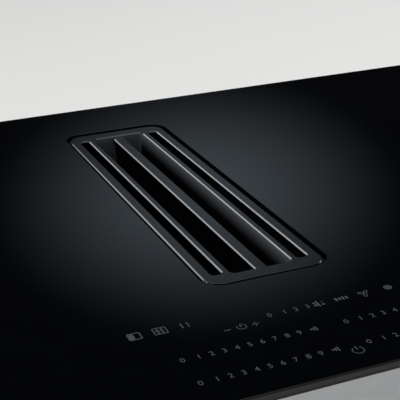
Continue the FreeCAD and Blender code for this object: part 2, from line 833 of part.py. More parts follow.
def coil_former(x, y):
    """Moulded former: plate with a raised rim, a sensor hole and four posts."""
    half_x = COIL_WIDTH / 2 + FORMER_MARGIN
    half_y = COIL_DEPTH / 2 + FORMER_MARGIN
    plate = octagon(x, y, half_x, half_y, COIL_CUT, FORMER_TOP - FORMER_PLATE, FORMER_TOP)
    rim = octagon_ring(x, y, half_x, half_y, COIL_CUT, FORMER_RIM, FORMER_TOP, COIL_TOP - 1.0)
    pieces = [plate, rim]
    for turn in range(4):
        angle = math.radians(45.0 / 2 + 90.0 * turn)
        post_x = x + COIL_POST_CIRCLE * math.cos(angle)
        post_y = y + COIL_POST_CIRCLE * math.sin(angle)
        pieces.append(
            facet_rod(post_x, post_y, POST_RADIUS, 8, COIL_PLATE_TOP, FORMER_TOP - FORMER_PLATE)
        )
    hole = facet_rod(x, y, SENSOR_RADIUS + SENSOR_HOLE, 8, FORMER_TOP - FORMER_PLATE, FORMER_TOP)
    return fuse_all(pieces).cut(hole)


def ferrite_bars():
    """Bars that lie in a star below each former and lead the field back."""
    bars = []
    top = FORMER_TOP - FORMER_PLATE
    for x, y in COILS.values():
        for step in range(FERRITES_PER_COIL):
            bar = box(
                0, FERRITE_LENGTH, -FERRITE_WIDTH / 2, FERRITE_WIDTH / 2, top - FERRITE_HEIGHT, top
            )
            bar.translate(Vec(FERRITE_START, 0, 0))
            bar.rotate(Vec(0, 0, 0), UP, 360.0 / FERRITES_PER_COIL * step)
            bar.translate(Vec(x, y, 0))
            bars.append(bar)
    return bars


def mica_sheets():
    """Thin insulating sheets between the windings and the glass."""
    sheets = []
    for x, y in COILS.values():
        half_x = COIL_WIDTH / 2 + FORMER_MARGIN / 2
        half_y = COIL_DEPTH / 2 + FORMER_MARGIN / 2
        sheet = octagon(x, y, half_x, half_y, COIL_CUT, COIL_TOP, COIL_TOP + MICA_THICKNESS)
        hole = facet_rod(x, y, SENSOR_RADIUS + SENSOR_HOLE, 8, COIL_TOP, COIL_TOP + MICA_THICKNESS)
        sheets.append(sheet.cut(hole))
    return sheets


def temperature_sensors():
    """Spring-loaded sensor heads that press on the glass in the middle of each coil."""
    sensors = []
    for x, y in COILS.values():
        low = FORMER_TOP - FORMER_PLATE
        head = facet_rod(x, y, SENSOR_RADIUS, 8, low, GLASS_BOTTOM)
        foot = facet_rod(x, y, SENSOR_RADIUS + SENSOR_FOOT, 8, low - FORMER_PLATE, low)
        sensors.append(head.fuse(foot).removeSplitter())
    return sensors


def coil_plate(side):
    """Aluminium plate that carries two coils, folded down to the tray floor along both sides."""
    half_x = COIL_PLATE_WIDTH / 2
    half_y = COIL_PLATE_DEPTH / 2
    centre = side * (COIL_X + 2.0)
    low = COIL_PLATE_TOP - COIL_PLATE_SHEET
    plate = box(
        centre - half_x, centre + half_x, COIL_PLATE_Y - half_y, COIL_PLATE_Y + half_y, low, COIL_PLATE_TOP
    )
    pieces = [plate]
    for edge in (-1, 1):
        outer = centre + edge * half_x
        inner = outer - edge * COIL_PLATE_SHEET
        pieces.append(
            box(
                min(outer, inner),
                max(outer, inner),
                COIL_PLATE_Y - half_y / 2,
                COIL_PLATE_Y + half_y / 2,
                TRAY_FLOOR,
                low,
            )
        )
    return fuse_all(pieces)


# ---- electronics ---------------------------------------------------------------------------
def power_board(side):
    """Printed board with the power stage of two coils."""
    return block(
        side * BOARD_X, BOARD_Y, BOARD_WIDTH / 2, BOARD_DEPTH / 2, 0.0, BOARD_BOTTOM, BOARD_TOP
    )


def heat_sink(side):
    """Extruded comb: the fins run along Y, in line with the blower."""
    x = side * SINK_X
    low = BOARD_TOP
    half = SINK_WIDTH / 2
    pitch = (SINK_WIDTH - SINK_FIN) / (SINK_FINS - 1)
    points = [(x - half, low), (x + half, low)]
    for index in reversed(range(SINK_FINS)):
        left = x - half + index * pitch
        right = left + SINK_FIN
        points.extend([(right, low + SINK_HEIGHT), (left, low + SINK_HEIGHT)])
        if index:
            points.extend([(left, low + SINK_BASE), (left - pitch + SINK_FIN, low + SINK_BASE)])
    return profile_x(points, BOARD_Y - SINK_LENGTH / 2, BOARD_Y + SINK_LENGTH / 2)


def board_capacitors():
    """Film capacitors on both boards, beside the heat sinks."""
    capacitors = []
    length, width, height = CAPACITOR_SIZE
    for side in SIDES.values():
        for step in range(CAPACITORS_PER_BOARD):
            x = side * CAPACITOR_X
            y = BOARD_Y + (step - (CAPACITORS_PER_BOARD - 1) / 2) * CAPACITOR_PITCH
            capacitors.append(
                block(x, y, length / 2, width / 2, 0.0, BOARD_TOP, BOARD_TOP + height)
            )
    return capacitors


def filter_chokes():
    """Chokes of the mains filter on both boards: rectangular cores with their window."""
    chokes = []
    length, width, height = CHOKE_SIZE
    for side in SIDES.values():
        for end in (-1, 1):
            x = side * CHOKE_X
            y = BOARD_Y + end * CHOKE_PITCH / 2
            core = block(x, y, length / 2, width / 2, 0.0, BOARD_TOP, BOARD_TOP + height)
            half_x = length / 2 - CHOKE_LEG
            half_y = width / 2 - CHOKE_LEG
            window = block(x, y, half_x, half_y, 0.0, BOARD_TOP, BOARD_TOP + height)
            chokes.append(core.cut(window))
    return chokes


def blower_housing(side):
    """Housing of a cooling blower: inlet in the floor, outlet towards the heat sink."""
    x = side * BLOWER_X
    half = BLOWER_SIZE / 2
    low = TRAY_FLOOR
    high = low + BLOWER_HEIGHT
    housing = octagon(x, BLOWER_Y, half, half, 8.0, low, high)
    cavity = facet_rod(x, BLOWER_Y, BLOWER_BORE, 24, low + BLOWER_WALL, high - BLOWER_WALL)
    outlet = box(
        x, x + BLOWER_BORE, BLOWER_Y, BLOWER_Y + half, low + BLOWER_WALL, high - BLOWER_WALL
    )
    inlet = facet_rod(x, BLOWER_Y, BLOWER_INLET, 16, low, low + BLOWER_WALL)
    bearing = rod(x, BLOWER_Y, PIN_RADIUS + RUNNING_CLEARANCE, high - BLOWER_WALL, high)
    return housing.cut(cavity.fuse(outlet)).cut(inlet).cut(bearing)


def blower_wheel(side):
    """Small wheel with straight blades, turning on a pin in the top of its housing."""
    x = side * BLOWER_X
    low = TRAY_FLOOR + BLOWER_WALL + 1.5
    high = TRAY_FLOOR + BLOWER_HEIGHT - BLOWER_WALL - 1.0
    disc = facet_rod(x, BLOWER_Y, BLOWER_WHEEL, BLOWER_BLADES, high - 1.5, high)
    hub = facet_rod(x, BLOWER_Y, 13.0, 12, low + 1.0, high - 1.5)
    pin = rod(x, BLOWER_Y, PIN_RADIUS, high, high + BLOWER_WALL + 0.8)
    blades = []
    for step in range(BLOWER_BLADES):
        blade = box(22.0, BLOWER_WHEEL - 1.5, -0.6, 0.6, low, high - 1.5)
        blade.rotate(Vec(0, 0, 0), UP, 360.0 / BLOWER_BLADES * step)
        blade.translate(Vec(x, BLOWER_Y, 0))
        blades.append(blade)
    return fuse_all([disc, hub, pin] + blades)


def touch_board():
    """Sensor board below the printed controls, with a contact pad under each row of marks."""
    high = GLASS_BOTTOM - TOUCH_PAD_HEIGHT
    low = high - BOARD_THICKNESS
    board = block(0, TOUCH_Y, TOUCH_WIDTH / 2, TOUCH_DEPTH / 2, 0.0, low, high)
    pieces = [board]
    half = TOUCH_PAD / 2
    for row in (-1, 0, 1):
        for column in range(-5, 6):
            x = column * TOUCH_PAD_PITCH
            y = TOUCH_Y + row * TOUCH_PAD_PITCH
            pieces.append(box(x - half, x + half, y - half, y + half, high, GLASS_BOTTOM))
    return fuse_all(pieces)


def touch_board_holder():
    """Moulded holder below the touch board, on four posts."""
    board_low = GLASS_BOTTOM - TOUCH_PAD_HEIGHT - BOARD_THICKNESS
    high = board_low
    low = high - 6.0
    half_x = TOUCH_WIDTH / 2 + 1.5
    half_y = TOUCH_DEPTH / 2 + 1.2
    rim = frame_ring(0, TOUCH_Y, half_x, half_y, 4.0, 5.0, low, high)
    floor = block(0, TOUCH_Y, half_x, half_y, 4.0, low - 1.5, low)
    pieces = [rim, floor]
    for side in SIDES.values():
        for end in (-1, 1):
            pieces.append(
                facet_rod(
                    side * (half_x - 8.0), TOUCH_Y + end * (half_y - 8.0), 4.0, 8, TRAY_FLOOR, low - 1.5
                )
            )
    return fuse_all(pieces)


def terminal_block():
    """Mains terminal strip with five screw wells."""
    low = TRAY_FLOOR
    x = TERMINAL_X + 18.0
    strip = box(x - 10.0, x + 10.0, TERMINAL_Y - 30.0, TERMINAL_Y + 30.0, low, low + 18.0)
    wells = [
        facet_rod(x, TERMINAL_Y + step * 11.0, 3.4, 6, low + 8.0, low + 18.0)
        for step in range(-2, 3)
    ]
    return strip.cut(Part.makeCompound(wells))


def terminal_cover():
    """Cover below the tray over the mains connection, with a round hole for the gland."""
    high = TRAY_BOTTOM
    low = high - TERMINAL_DROP
    half_x = TERMINAL_WIDTH / 2
    half_y = TERMINAL_DEPTH / 2
    shell = octagon(TERMINAL_X, TERMINAL_Y, half_x, half_y, 6.0, low, high)
    inside = octagon(
        TERMINAL_X,
        TERMINAL_Y,
        half_x - TERMINAL_WALL,
        half_y - TERMINAL_WALL,
        5.0,
        low + TERMINAL_WALL,
        high,
    )
    start = Vec(TERMINAL_X - half_x - TERMINAL_WALL, TERMINAL_Y, low + TERMINAL_DROP / 2)
    hole = facet_pin(start, Vec(1, 0, 0), GLAND_OUTER, 3 * TERMINAL_WALL, GLAND_SIDES)
    return shell.cut(inside).cut(hole)


def cable_gland():
    """Gland with a hexagon collar through the terminal cover, open for the mains cable."""
    wall_x = TERMINAL_X - TERMINAL_WIDTH / 2
    z = TRAY_BOTTOM - TERMINAL_DROP / 2
    axis = Vec(1, 0, 0)
    half = GLAND_LENGTH / 2
    body = facet_pin(Vec(wall_x - half, TERMINAL_Y, z), axis, GLAND_OUTER, GLAND_LENGTH, GLAND_SIDES)
    collar = facet_pin(Vec(wall_x, TERMINAL_Y, z), Vec(-1, 0, 0), GLAND_COLLAR, half / 2)
    bore = Part.makeCylinder(GLAND_BORE, GLAND_LENGTH, Vec(wall_x - half, TERMINAL_Y, z), axis)
    return body.fuse(collar).removeSplitter().cut(bore)


# ---- lower housing -------------------------------------------------------------------------
def housing_points(grow):
    """Stepped outline of the lower housing, grown outwards by the given distance."""
    return [
        (HOUSING_LEFT - grow, HOUSING_FRONT - grow),
        (HOUSING_RIGHT + grow, HOUSING_FRONT - grow),
        (HOUSING_RIGHT + grow, HOUSING_REAR + grow),
        (DIVIDER_X - grow, HOUSING_REAR + grow),
        (DIVIDER_X - grow, CHAMBER_REAR + grow),
        (HOUSING_LEFT - grow, CHAMBER_REAR + grow),
    ]


def housing_prism(grow, z_low, z_high):
    """Upright solid on the housing outline, with tighter corners at the rear step."""
    wide = HOUSING_CORNER + grow
    outward = HOUSING_STEP_CORNER + grow
    inward = HOUSING_STEP_CORNER - grow
    if grow > HOUSING_STEP_CORNER / 2:
        outward = HOUSING_STEP_CORNER
        inward = HOUSING_STEP_CORNER / 2
    radii = [wide, wide, wide, outward, inward, wide]
    return prism(rounded_outline(housing_points(grow), radii, z_low), z_high - z_low)


def scroll_arc(quarter, offset, z):
    """Start, middle and end of one quarter arc of the scroll.

    The centres lie on the corners of a small square, so that each arc runs tangent into the next
    and the radius grows by the side of the square from quarter to quarter.
    """
    half = (SCROLL_END - SCROLL_START) / 6
    radius = SCROLL_END - half - 2 * half * (3 - quarter) + offset
    right = -half if quarter == 1 else half
    rear = half if quarter == 3 else -half
    centre = Vec(FAN_X + right, FAN_Y + rear, z)
    first = max(90.0 * quarter, TONGUE_ANGLE)
    last = 90.0 * (quarter + 1)
    points = []
    for angle in (first, (first + last) / 2, last):
        turn = math.radians(angle)
        points.append(centre + Vec(radius * math.cos(turn), radius * math.sin(turn), 0))
    return points


def fan_scroll():
    """Spiral wall round the impeller, its rounded tongue and both walls of the outlet.

    It stands on the floor of the housing, below the deck, and ends on the rear wall.
    """
    z_low = HOUSING_WALL
    z_high = DECK_BOTTOM
    height = z_high - z_low
    pieces = []
    for quarter in (1, 2, 3):
        inner = scroll_arc(quarter, 0.0, z_low)
        outer = scroll_arc(quarter, HOUSING_WALL, z_low)
        edges = [
            Part.LineSegment(inner[0], outer[0]).toShape(),
            Part.Arc(*outer).toShape(),
            Part.LineSegment(outer[2], inner[2]).toShape(),
            Part.Arc(*reversed(inner)).toShape(),
        ]
        pieces.append(prism(Part.Wire(edges), height))
    nose_centre = scroll_arc(1, HOUSING_WALL, z_low)[0]
    pieces.append(rod(nose_centre.x, nose_centre.y, HOUSING_WALL, z_low, z_high))
    rear = HOUSING_REAR - HOUSING_WALL
    side = scroll_arc(3, 0.0, z_low)[2]
    pieces.append(box(side.x, side.x + HOUSING_WALL, side.y, rear, z_low, z_high))
    end = Vec(side.x - DUCT_WIDTH - HOUSING_WALL / 2, rear, z_low)
    along = end - nose_centre
    along.normalize()
    across = along.cross(UP) * (HOUSING_WALL / 2)
    end = end + along * HOUSING_WALL
    corners = [
        nose_centre + across,
        end + across,
        end - across,
        nose_centre - across,
        nose_centre + across,
    ]
    pieces.append(prism(Part.makePolygon(corners), height))
    behind = box(HOUSING_LEFT, HOUSING_RIGHT, rear, rear + 3 * HOUSING_WALL, z_low, z_high)
    return fuse_all(pieces).cut(behind)


def housing_ribs():
    """Upright stiffening ribs on the outside of the front, left and right walls."""
    ribs = []
    high = HOUSING_TOP - HOUSING_WALL
    low = RIB_FOOT
    x = HOUSING_LEFT + RIB_PITCH
    while x < HOUSING_RIGHT - RIB_PITCH / 2:
        ribs.append(
            box(x, x + RIB_WIDTH, HOUSING_FRONT - RIB_DEPTH, HOUSING_FRONT + 1.0, low, high)
        )
        x += RIB_PITCH
    y = HOUSING_FRONT + RIB_PITCH
    while y < CHAMBER_REAR - RIB_PITCH / 2:
        ribs.append(box(HOUSING_LEFT - RIB_DEPTH, HOUSING_LEFT + 1.0, y, y + RIB_WIDTH, low, high))
        ribs.append(
            box(HOUSING_RIGHT - 1.0, HOUSING_RIGHT + RIB_DEPTH, y, y + RIB_WIDTH, low, high)
        )
        y += RIB_PITCH
    return ribs


def duct_block(grow, y_low, y_high):
    """Block with the duct's rounded section, grown by a distance, between two depths."""
    half_x = DUCT_WIDTH / 2 + grow
    half_z = DUCT_HEIGHT / 2 + grow
    wire = rectangle(0, 0, half_x, half_z, max(DUCT_CORNER + grow, 1.0), 0)
    solid = prism(wire, y_high - y_low)
    solid.rotate(Vec(0, 0, 0), Vec(1, 0, 0), -90)
    solid.translate(Vec(DUCT_X, y_low, DUCT_Z))
    return solid


def duct_holes(y_low, y_high):
    """Four holes beside the duct, for the screws of a duct adapter."""
    holes = []
    for side in (-1, 1):
        for end in (-1, 1):
            x = DUCT_X + side * (DUCT_WIDTH / 2 + DUCT_FLANGE - DUCT_HOLE_INSET)
            start = Vec(x, y_low, DUCT_Z + end * DUCT_HOLE_RISE)
            holes.append(
                Part.makeCylinder(DUCT_HOLE_RADIUS, y_high - y_low, start, Vec(0, 1, 0))
            )
    return holes


def flange_screw_places():
    """Screw places on the flange round the top of the housing, midway between the ribs."""
    reach = HOUSING_FLANGE / 2
    places = []
    for step in (0.5, 3.5, 6.5):
        places.append((HOUSING_LEFT + RIB_PITCH * step, HOUSING_FRONT - reach))
    for share in (0.15, 0.85):
        x = DIVIDER_X + share * (HOUSING_RIGHT - DIVIDER_X)
        places.append((x, HOUSING_REAR + reach))
    for step in (1.5, 4.5):
        y = HOUSING_FRONT + RIB_PITCH * step
        places.append((HOUSING_LEFT - reach, y))
        places.append((HOUSING_RIGHT + reach, y))
    return places


def base_housing():
    """Moulded lower housing: filter chamber on the left, fan chamber and duct on the right."""
    wall = HOUSING_WALL
    outside = chamfer_level(
        housing_prism(0.0, 0.0, HOUSING_TOP), 0.0, HOUSING_BEVEL
    )
    flange = housing_prism(HOUSING_FLANGE, HOUSING_TOP - wall, HOUSING_TOP)
    body = outside.multiFuse([flange] + housing_ribs())
    cavity = housing_prism(-wall, wall, HOUSING_TOP)
    body = body.cut(cavity)
    divider = box(
        DIVIDER_X - wall, DIVIDER_X, HOUSING_FRONT + 1.0, CHAMBER_REAR + 1.0, wall - 1.0, DECK_BOTTOM
    )
    body = body.fuse(divider)
    openings = [duct_block(SEAT_CLEARANCE, HOUSING_REAR - 2 * wall, HOUSING_REAR)]
    openings.extend(duct_holes(HOUSING_REAR - 2 * wall, HOUSING_REAR))
    for x, y in flange_screw_places():
        openings.append(facet_rod(x, y, FLANGE_SCREW, 6, HOUSING_TOP - wall, HOUSING_TOP))
    return body.cut(Part.makeCompound(openings)).removeSplitter()


def plenum_cover():
    """Cover plate between the housing and the tray, open round the collar."""
    plate = housing_prism(HOUSING_FLANGE, HOUSING_TOP, TRAY_BOTTOM)
    holes = [vent_passage(HOUSING_TOP, TRAY_BOTTOM)]
    for x, y in flange_screw_places():
        holes.append(facet_rod(x, y, FLANGE_SCREW, 6, HOUSING_TOP, TRAY_BOTTOM))
    return plate.cut(Part.makeCompound(holes))


def housing_screws():
    """Screws up through the flange into the cover."""
    seat = HOUSING_TOP - HOUSING_WALL
    screws = []
    for x, y in flange_screw_places():
        length = HOUSING_WALL + COVER_SHEET
        screws.append(screw(x, y, seat, FLANGE_SCREW, length, 3.4, SCREW_HEAD_HEIGHT, down=False))
    return screws


def deck_screw_places():
    """Screw places at the corners of the fan deck."""
    inset = DECK_SCREW_INSET
    left = DIVIDER_X + inset
    right = HOUSING_RIGHT - HOUSING_WALL - inset
    front = HOUSING_FRONT + HOUSING_WALL + inset
    rear = HOUSING_REAR - HOUSING_WALL - inset
    return [(left, front), (right, front), (right, rear), (left, rear)]


def fan_deck():
    """Deck over the scroll with a rolled inlet that dips into the impeller."""
    inset = HOUSING_WALL + DECK_CLEARANCE
    left = DIVIDER_X - HOUSING_WALL
    right = HOUSING_RIGHT - inset
    front = HOUSING_FRONT + inset
    rear = HOUSING_REAR - inset
    chamber_rear = CHAMBER_REAR - inset
    points = [
        (left, front),
        (right, front),
        (right, rear),
        (DIVIDER_X + inset, rear),
        (DIVIDER_X + inset, chamber_rear),
        (left, chamber_rear),
    ]
    bend = HOUSING_CORNER - inset
    radii = [0.0, bend, bend, HOUSING_STEP_CORNER, 0.0, 0.0]
    plate = prism(rounded_outline(points, radii, DECK_BOTTOM), DECK_SHEET)
    middle = INLET_RADIUS + INLET_SHEET / 2
    plate = plate.cut(facet_rod(FAN_X, FAN_Y, middle, INLET_SIDES, DECK_BOTTOM, DECK_TOP))
    holes = [
        facet_rod(x, y, DECK_SCREW, 6, DECK_BOTTOM, DECK_TOP) for x, y in deck_screw_places()
    ]
    return plate.cut(Part.makeCompound(holes)).fuse(inlet_ring()).removeSplitter()


def inlet_ring():
    """Rolled inlet: a thin wall that rises out of the impeller and curls outwards in two bends."""
    bottom = DECK_BOTTOM - INLET_DIP
    level = DECK_TOP - 1.0
    inner = INLET_RADIUS
    outer = INLET_RADIUS + INLET_SHEET
    lip = INLET_LIP
    section = [
        (inner, bottom),
        (inner, level),
        (inner + 0.3 * lip, level + 0.7 * lip),
        (inner + lip, level + lip),
        (outer + 0.3 * lip, level + 0.5 * lip),
        (outer, level),
        (outer, bottom),
    ]
    return facet_turn(FAN_X, FAN_Y, section, INLET_SIDES)


def deck_screws():
    """Screws that hold the deck."""
    return [
        screw(x, y, DECK_TOP, DECK_SCREW, DECK_SHEET, 3.6, SCREW_HEAD_HEIGHT)
        for x, y in deck_screw_places()
    ]


# ---- fan and motor -------------------------------------------------------------------------
def fan_blade(z_low, z_high):
    """One forward-curved blade between the inner and the outer radius of the cage, bent in its middle."""
    half = FAN_BLADE_SHEET / 2
    span = FAN_RADIUS - 2.0 - FAN_INNER
    front = []
    back = []
    for share in (0.0, 0.5, 1.0):
        radius = FAN_INNER + share * span
        angle = math.radians(FAN_BLADE_LEAN) * share * share
        shift = half / radius
        front.append(Vec(radius * math.cos(angle + shift), radius * math.sin(angle + shift), z_low))
        back.append(Vec(radius * math.cos(angle - shift), radius * math.sin(angle - shift), z_low))
    outline = front + back[::-1] + front[:1]
    return prism(Part.makePolygon(outline), z_high - z_low)


def impeller():
    """Caged impeller: dished hub over the motor, forward-curved blades and a top ring.

    The disc, the dish and the ring have one flat side for each blade.
    """
    sheet = FAN_SHEET
    low = FAN_BOTTOM
    high = FAN_BOTTOM + FAN_HEIGHT
    cap = ROTOR_TOP
    count = FAN_BLADES
    dish_foot = FAN_INNER - 6.0
    dish_top = ROTOR_RADIUS + ROTOR_GAP + sheet
    disc = facet_rod(FAN_X, FAN_Y, FAN_RADIUS, count, low, low + sheet)
    dish = facet_cone(FAN_X, FAN_Y, dish_foot, dish_top, count, low + sheet, cap + sheet)
    hollow = facet_cone(FAN_X, FAN_Y, dish_foot - sheet, dish_top - sheet, count, low, cap)
    bore = rod(FAN_X, FAN_Y, SHAFT_RADIUS, cap, cap + sheet)
    hub = disc.fuse(dish).cut(hollow).cut(bore)
    ring = facet_rod(FAN_X, FAN_Y, FAN_RADIUS, count, high - sheet, high)
    ring = ring.cut(facet_rod(FAN_X, FAN_Y, FAN_RING_INNER, count, high - sheet, high))
    blades = []
    for step in range(count):
        blade = fan_blade(low + sheet / 2, high - sheet / 2)
        blade.rotate(Vec(0, 0, 0), UP, 360.0 / count * step)
        blade.translate(Vec(FAN_X, FAN_Y, 0))
        blades.append(blade)
    return fuse_all([hub, ring] + blades)


def motor_rotor():
    """Steel cup that turns round the stator, closed at the top, with flat sides for its magnets."""
    cup = facet_rod(FAN_X, FAN_Y, ROTOR_RADIUS, 24, ROTOR_BOTTOM, ROTOR_TOP)
    inside = facet_rod(
        FAN_X, FAN_Y, ROTOR_RADIUS - ROTOR_WALL, 24, ROTOR_BOTTOM, ROTOR_TOP - ROTOR_WALL
    )
    bore = rod(FAN_X, FAN_Y, SHAFT_RADIUS, ROTOR_TOP - ROTOR_WALL, ROTOR_TOP)
    return cup.cut(inside).cut(bore)


def motor_shaft():
    """Steel shaft through the bearing tube, the rotor and the hub."""
    return rod(FAN_X, FAN_Y, SHAFT_RADIUS, BRACKET_BOTTOM, ROTOR_TOP + FAN_SHEET)


def motor_bracket():
    """Cast bracket: a disc on the rubber mounts and the tube that carries the shaft."""
    top = ROTOR_TOP - ROTOR_WALL - 2.0
    low = BRACKET_BOTTOM
    disc = facet_rod(FAN_X, FAN_Y, BRACKET_DISC, 24, low, low + 3.0)
    neck = facet_cone(FAN_X, FAN_Y, STATOR_BORE + 4.0, STATOR_BORE, 12, low + 3.0, low + 7.0)
    column = facet_rod(FAN_X, FAN_Y, STATOR_BORE, 12, low + 7.0, top)
    bore = rod(FAN_X, FAN_Y, SHAFT_RADIUS + RUNNING_CLEARANCE, low, top)
    return fuse_all([disc, neck, column]).cut(bore)


def motor_stator():
    """Toothed stator on the bearing tube."""
    low = (ROTOR_BOTTOM + ROTOR_TOP - ROTOR_WALL) / 2 - STATOR_HEIGHT / 2
    high = low + STATOR_HEIGHT
    core = facet_rod(FAN_X, FAN_Y, STATOR_RADIUS - 15.0, STATOR_SLOTS, low, high)
    core = core.cut(facet_rod(FAN_X, FAN_Y, STATOR_BORE, 12, low, high))
    pieces = [core]
    for step in range(STATOR_SLOTS):
        tooth = box(STATOR_RADIUS - 17.0, STATOR_RADIUS - 2.0, -2.5, 2.5, low, high)
        tip = box(STATOR_RADIUS - 3.0, STATOR_RADIUS - 0.6, -7.0, 7.0, low, high)
        for piece in (tooth, tip):
            piece.rotate(Vec(0, 0, 0), UP, 360.0 / STATOR_SLOTS * step)
            piece.translate(Vec(FAN_X, FAN_Y, 0))
            pieces.append(piece)
    return fuse_all(pieces)


def motor_windings():
    """Copper windings, one round each stator tooth."""
    low = (ROTOR_BOTTOM + ROTOR_TOP - ROTOR_WALL) / 2 - STATOR_HEIGHT / 2
    high = low + STATOR_HEIGHT
    windings = []
    for step in range(STATOR_SLOTS):
        coil = box(STATOR_RADIUS - 14.0, STATOR_RADIUS - 4.0, -4.6, 4.6, low - 2.0, high + 2.0)
        coil = coil.cut(box(STATOR_RADIUS - 14.0, STATOR_RADIUS - 4.0, -2.5, 2.5, low, high))
        coil.rotate(Vec(0, 0, 0), UP, 360.0 / STATOR_SLOTS * step)
        coil.translate(Vec(FAN_X, FAN_Y, 0))
        windings.append(coil)
    return windings


def motor_mounts():
    """Rubber mounts between the housing floor and the motor bracket."""
    mounts = []
    for step in range(4):
        angle = math.radians(45.0 + 90.0 * step)
        x = FAN_X + MOUNT_CIRCLE * math.cos(angle)
        y = FAN_Y + MOUNT_CIRCLE * math.sin(angle)
        mounts.append(facet_rod(x, y, MOUNT_RADIUS, 12, HOUSING_WALL, BRACKET_BOTTOM))
    return mounts


# ---- duct outlet ---------------------------------------------------------------------------
def outlet_spigot():
    """Flat duct spigot with its flange on the rear wall of the housing."""
    rear = HOUSING_REAR + DUCT_LENGTH
    body = duct_block(0.0, HOUSING_REAR - HOUSING_WALL, rear)
    half_x = DUCT_WIDTH / 2 + DUCT_FLANGE
    flange = box(
        DUCT_X - half_x,
        DUCT_X + half_x,
        HOUSING_REAR,
        HOUSING_REAR + HOUSING_WALL,
        DUCT_Z - DUCT_HEIGHT / 2 - 2.0,
        DUCT_Z + DUCT_HEIGHT / 2 + 4.0,
    )
    inside = duct_block(-DUCT_WALL, HOUSING_REAR - HOUSING_WALL, rear)
    holes = duct_holes(HOUSING_REAR, HOUSING_REAR + HOUSING_WALL)
    return body.fuse(flange).cut(Part.makeCompound([inside] + holes)).removeSplitter()


def outlet_seal():
    """Rubber band round the spigot that seals the duct pushed over it."""
    rear = HOUSING_REAR + DUCT_LENGTH
    band = duct_block(1.5, rear - 16.0, rear - 8.0)
    return band.cut(duct_block(0.0, rear - 16.0, rear - 8.0))


# ---- filter cassette and drip tray ---------------------------------------------------------
def filter_half_widths():
    """Half widths of the cassette body at its rim and at its foot."""
    return LOWER_X - FILTER_BODY_INSET, FILTER_FOOT


def filter_slope(z):
    """Half width of the outside of the cassette at height z."""
    wide, narrow = filter_half_widths()
    high = CASSETTE_LEDGE + SEAT_CLEARANCE
    share = (high - z) / FILTER_DEPTH
    return wide - (wide - narrow) * share


def filter_section(inset, z_low, z_high):
    """Section of the cassette body, inset from its outside, between two heights."""
    low = filter_slope(z_low) - inset
    high = filter_slope(z_high) - inset
    return [(-low, z_low), (low, z_low), (high, z_high), (-high, z_high)]


def filter_windows():
    """Spans along Y of the windows in the long walls."""
    half = LOWER_Y - FILTER_BODY_INSET - FILTER_WALL - FILTER_RIB
    pitch = (2 * half + FILTER_RIB) / FILTER_WINDOWS
    return [
        (VENT_Y - half + index * pitch, VENT_Y - half + index * pitch + pitch - FILTER_RIB)
        for index in range(FILTER_WINDOWS)
    ]


def filter_frame():
    """Cassette: rim, sloped long walls with windows, closed trough at the foot, cross grip."""
    seat = CASSETTE_LEDGE + SEAT_CLEARANCE
    foot = seat - FILTER_DEPTH
    half_y = LOWER_Y - FILTER_BODY_INSET
    rim = block(
        0,
        VENT_Y,
        UPPER_X - LIFT_CLEARANCE,
        UPPER_Y - LIFT_CLEARANCE,
        UPPER_CORNER - LIFT_CLEARANCE,
        seat,
        seat + RIM_THICKNESS,
    )
    body = profile_x(filter_section(0.0, foot, seat), VENT_Y - half_y, VENT_Y + half_y)
    inner_y = half_y - FILTER_WALL
    hollow = profile_x(
        filter_section(FILTER_WALL, foot + FILTER_WALL, seat), VENT_Y - inner_y, VENT_Y + inner_y
    )
    mouth_x = filter_slope(seat) - FILTER_WALL
    mouth = box(-mouth_x, mouth_x, VENT_Y - inner_y, VENT_Y + inner_y, seat, seat + RIM_THICKNESS)
    frame = rim.fuse(body).cut(hollow).cut(mouth)
    for low, high in filter_windows():
        frame = frame.cut(
            box(-UPPER_X, UPPER_X, low, high, foot + WINDOW_SILL, seat - WINDOW_HEAD)
        )
    grip = box(
        -mouth_x - 0.5, mouth_x + 0.5, VENT_Y - GRIP_HALF, VENT_Y + GRIP_HALF, seat - RIM_THICKNESS, seat
    )
    return frame.fuse(grip).removeSplitter()


def grease_filters():
    """Two slotted grease filter panels inside the long walls of the cassette."""
    seat = CASSETTE_LEDGE + SEAT_CLEARANCE
    foot = seat - FILTER_DEPTH
    z_low = foot + FILTER_WALL + 1.0
    z_high = seat - 4.0
    half_y = LOWER_Y - FILTER_BODY_INSET - FILTER_WALL - 1.0
    panels = []
    pitch = (z_high - z_low - 8.0) / MESH_SLOTS
    for side in (-1, 1):
        section = []
        for z, inset in (
            (z_low, FILTER_WALL + 0.3),
            (z_high, FILTER_WALL + 0.3),
            (z_high, FILTER_WALL + 0.3 + MESH_THICKNESS),
            (z_low, FILTER_WALL + 0.3 + MESH_THICKNESS),
        ):
            section.append((side * (filter_slope(z) - inset), z))
        panel = profile_x(section, VENT_Y - half_y, VENT_Y + half_y)
        middle = side * (filter_slope((z_low + z_high) / 2) - FILTER_WALL)
        slots = []
        for index in range(MESH_SLOTS):
            z = z_low + 5.0 + index * pitch
            for start, end in ((-half_y + 4.0, -3.0), (3.0, half_y - 4.0)):
                slots.append(
                    box(middle - 14.0, middle + 14.0, VENT_Y + start, VENT_Y + end, z, z + pitch / 2)
                )
        panels.append(panel.cut(Part.makeCompound(slots)))
    return panels


def drip_tray():
    """Tapered tray on the chamber floor that catches spilt liquid, lifted out from above."""
    low = HOUSING_WALL + SEAT_CLEARANCE
    high = low + DRIP_HEIGHT
    half_x = LOWER_X - LIFT_CLEARANCE
    half_y = LOWER_Y - LIFT_CLEARANCE
    corner = LOWER_CORNER + 2.0

    def tub(inset, z_low):
        top = rectangle(0, VENT_Y, half_x - inset, half_y - inset, corner, high)
        foot = rectangle(
            0, VENT_Y, half_x - inset - DRIP_TAPER, half_y - inset - DRIP_TAPER, corner, z_low
        )
        return Part.makeLoft([top, foot], True, True)

    return tub(0.0, low).cut(tub(DRIP_WALL, low + DRIP_WALL))


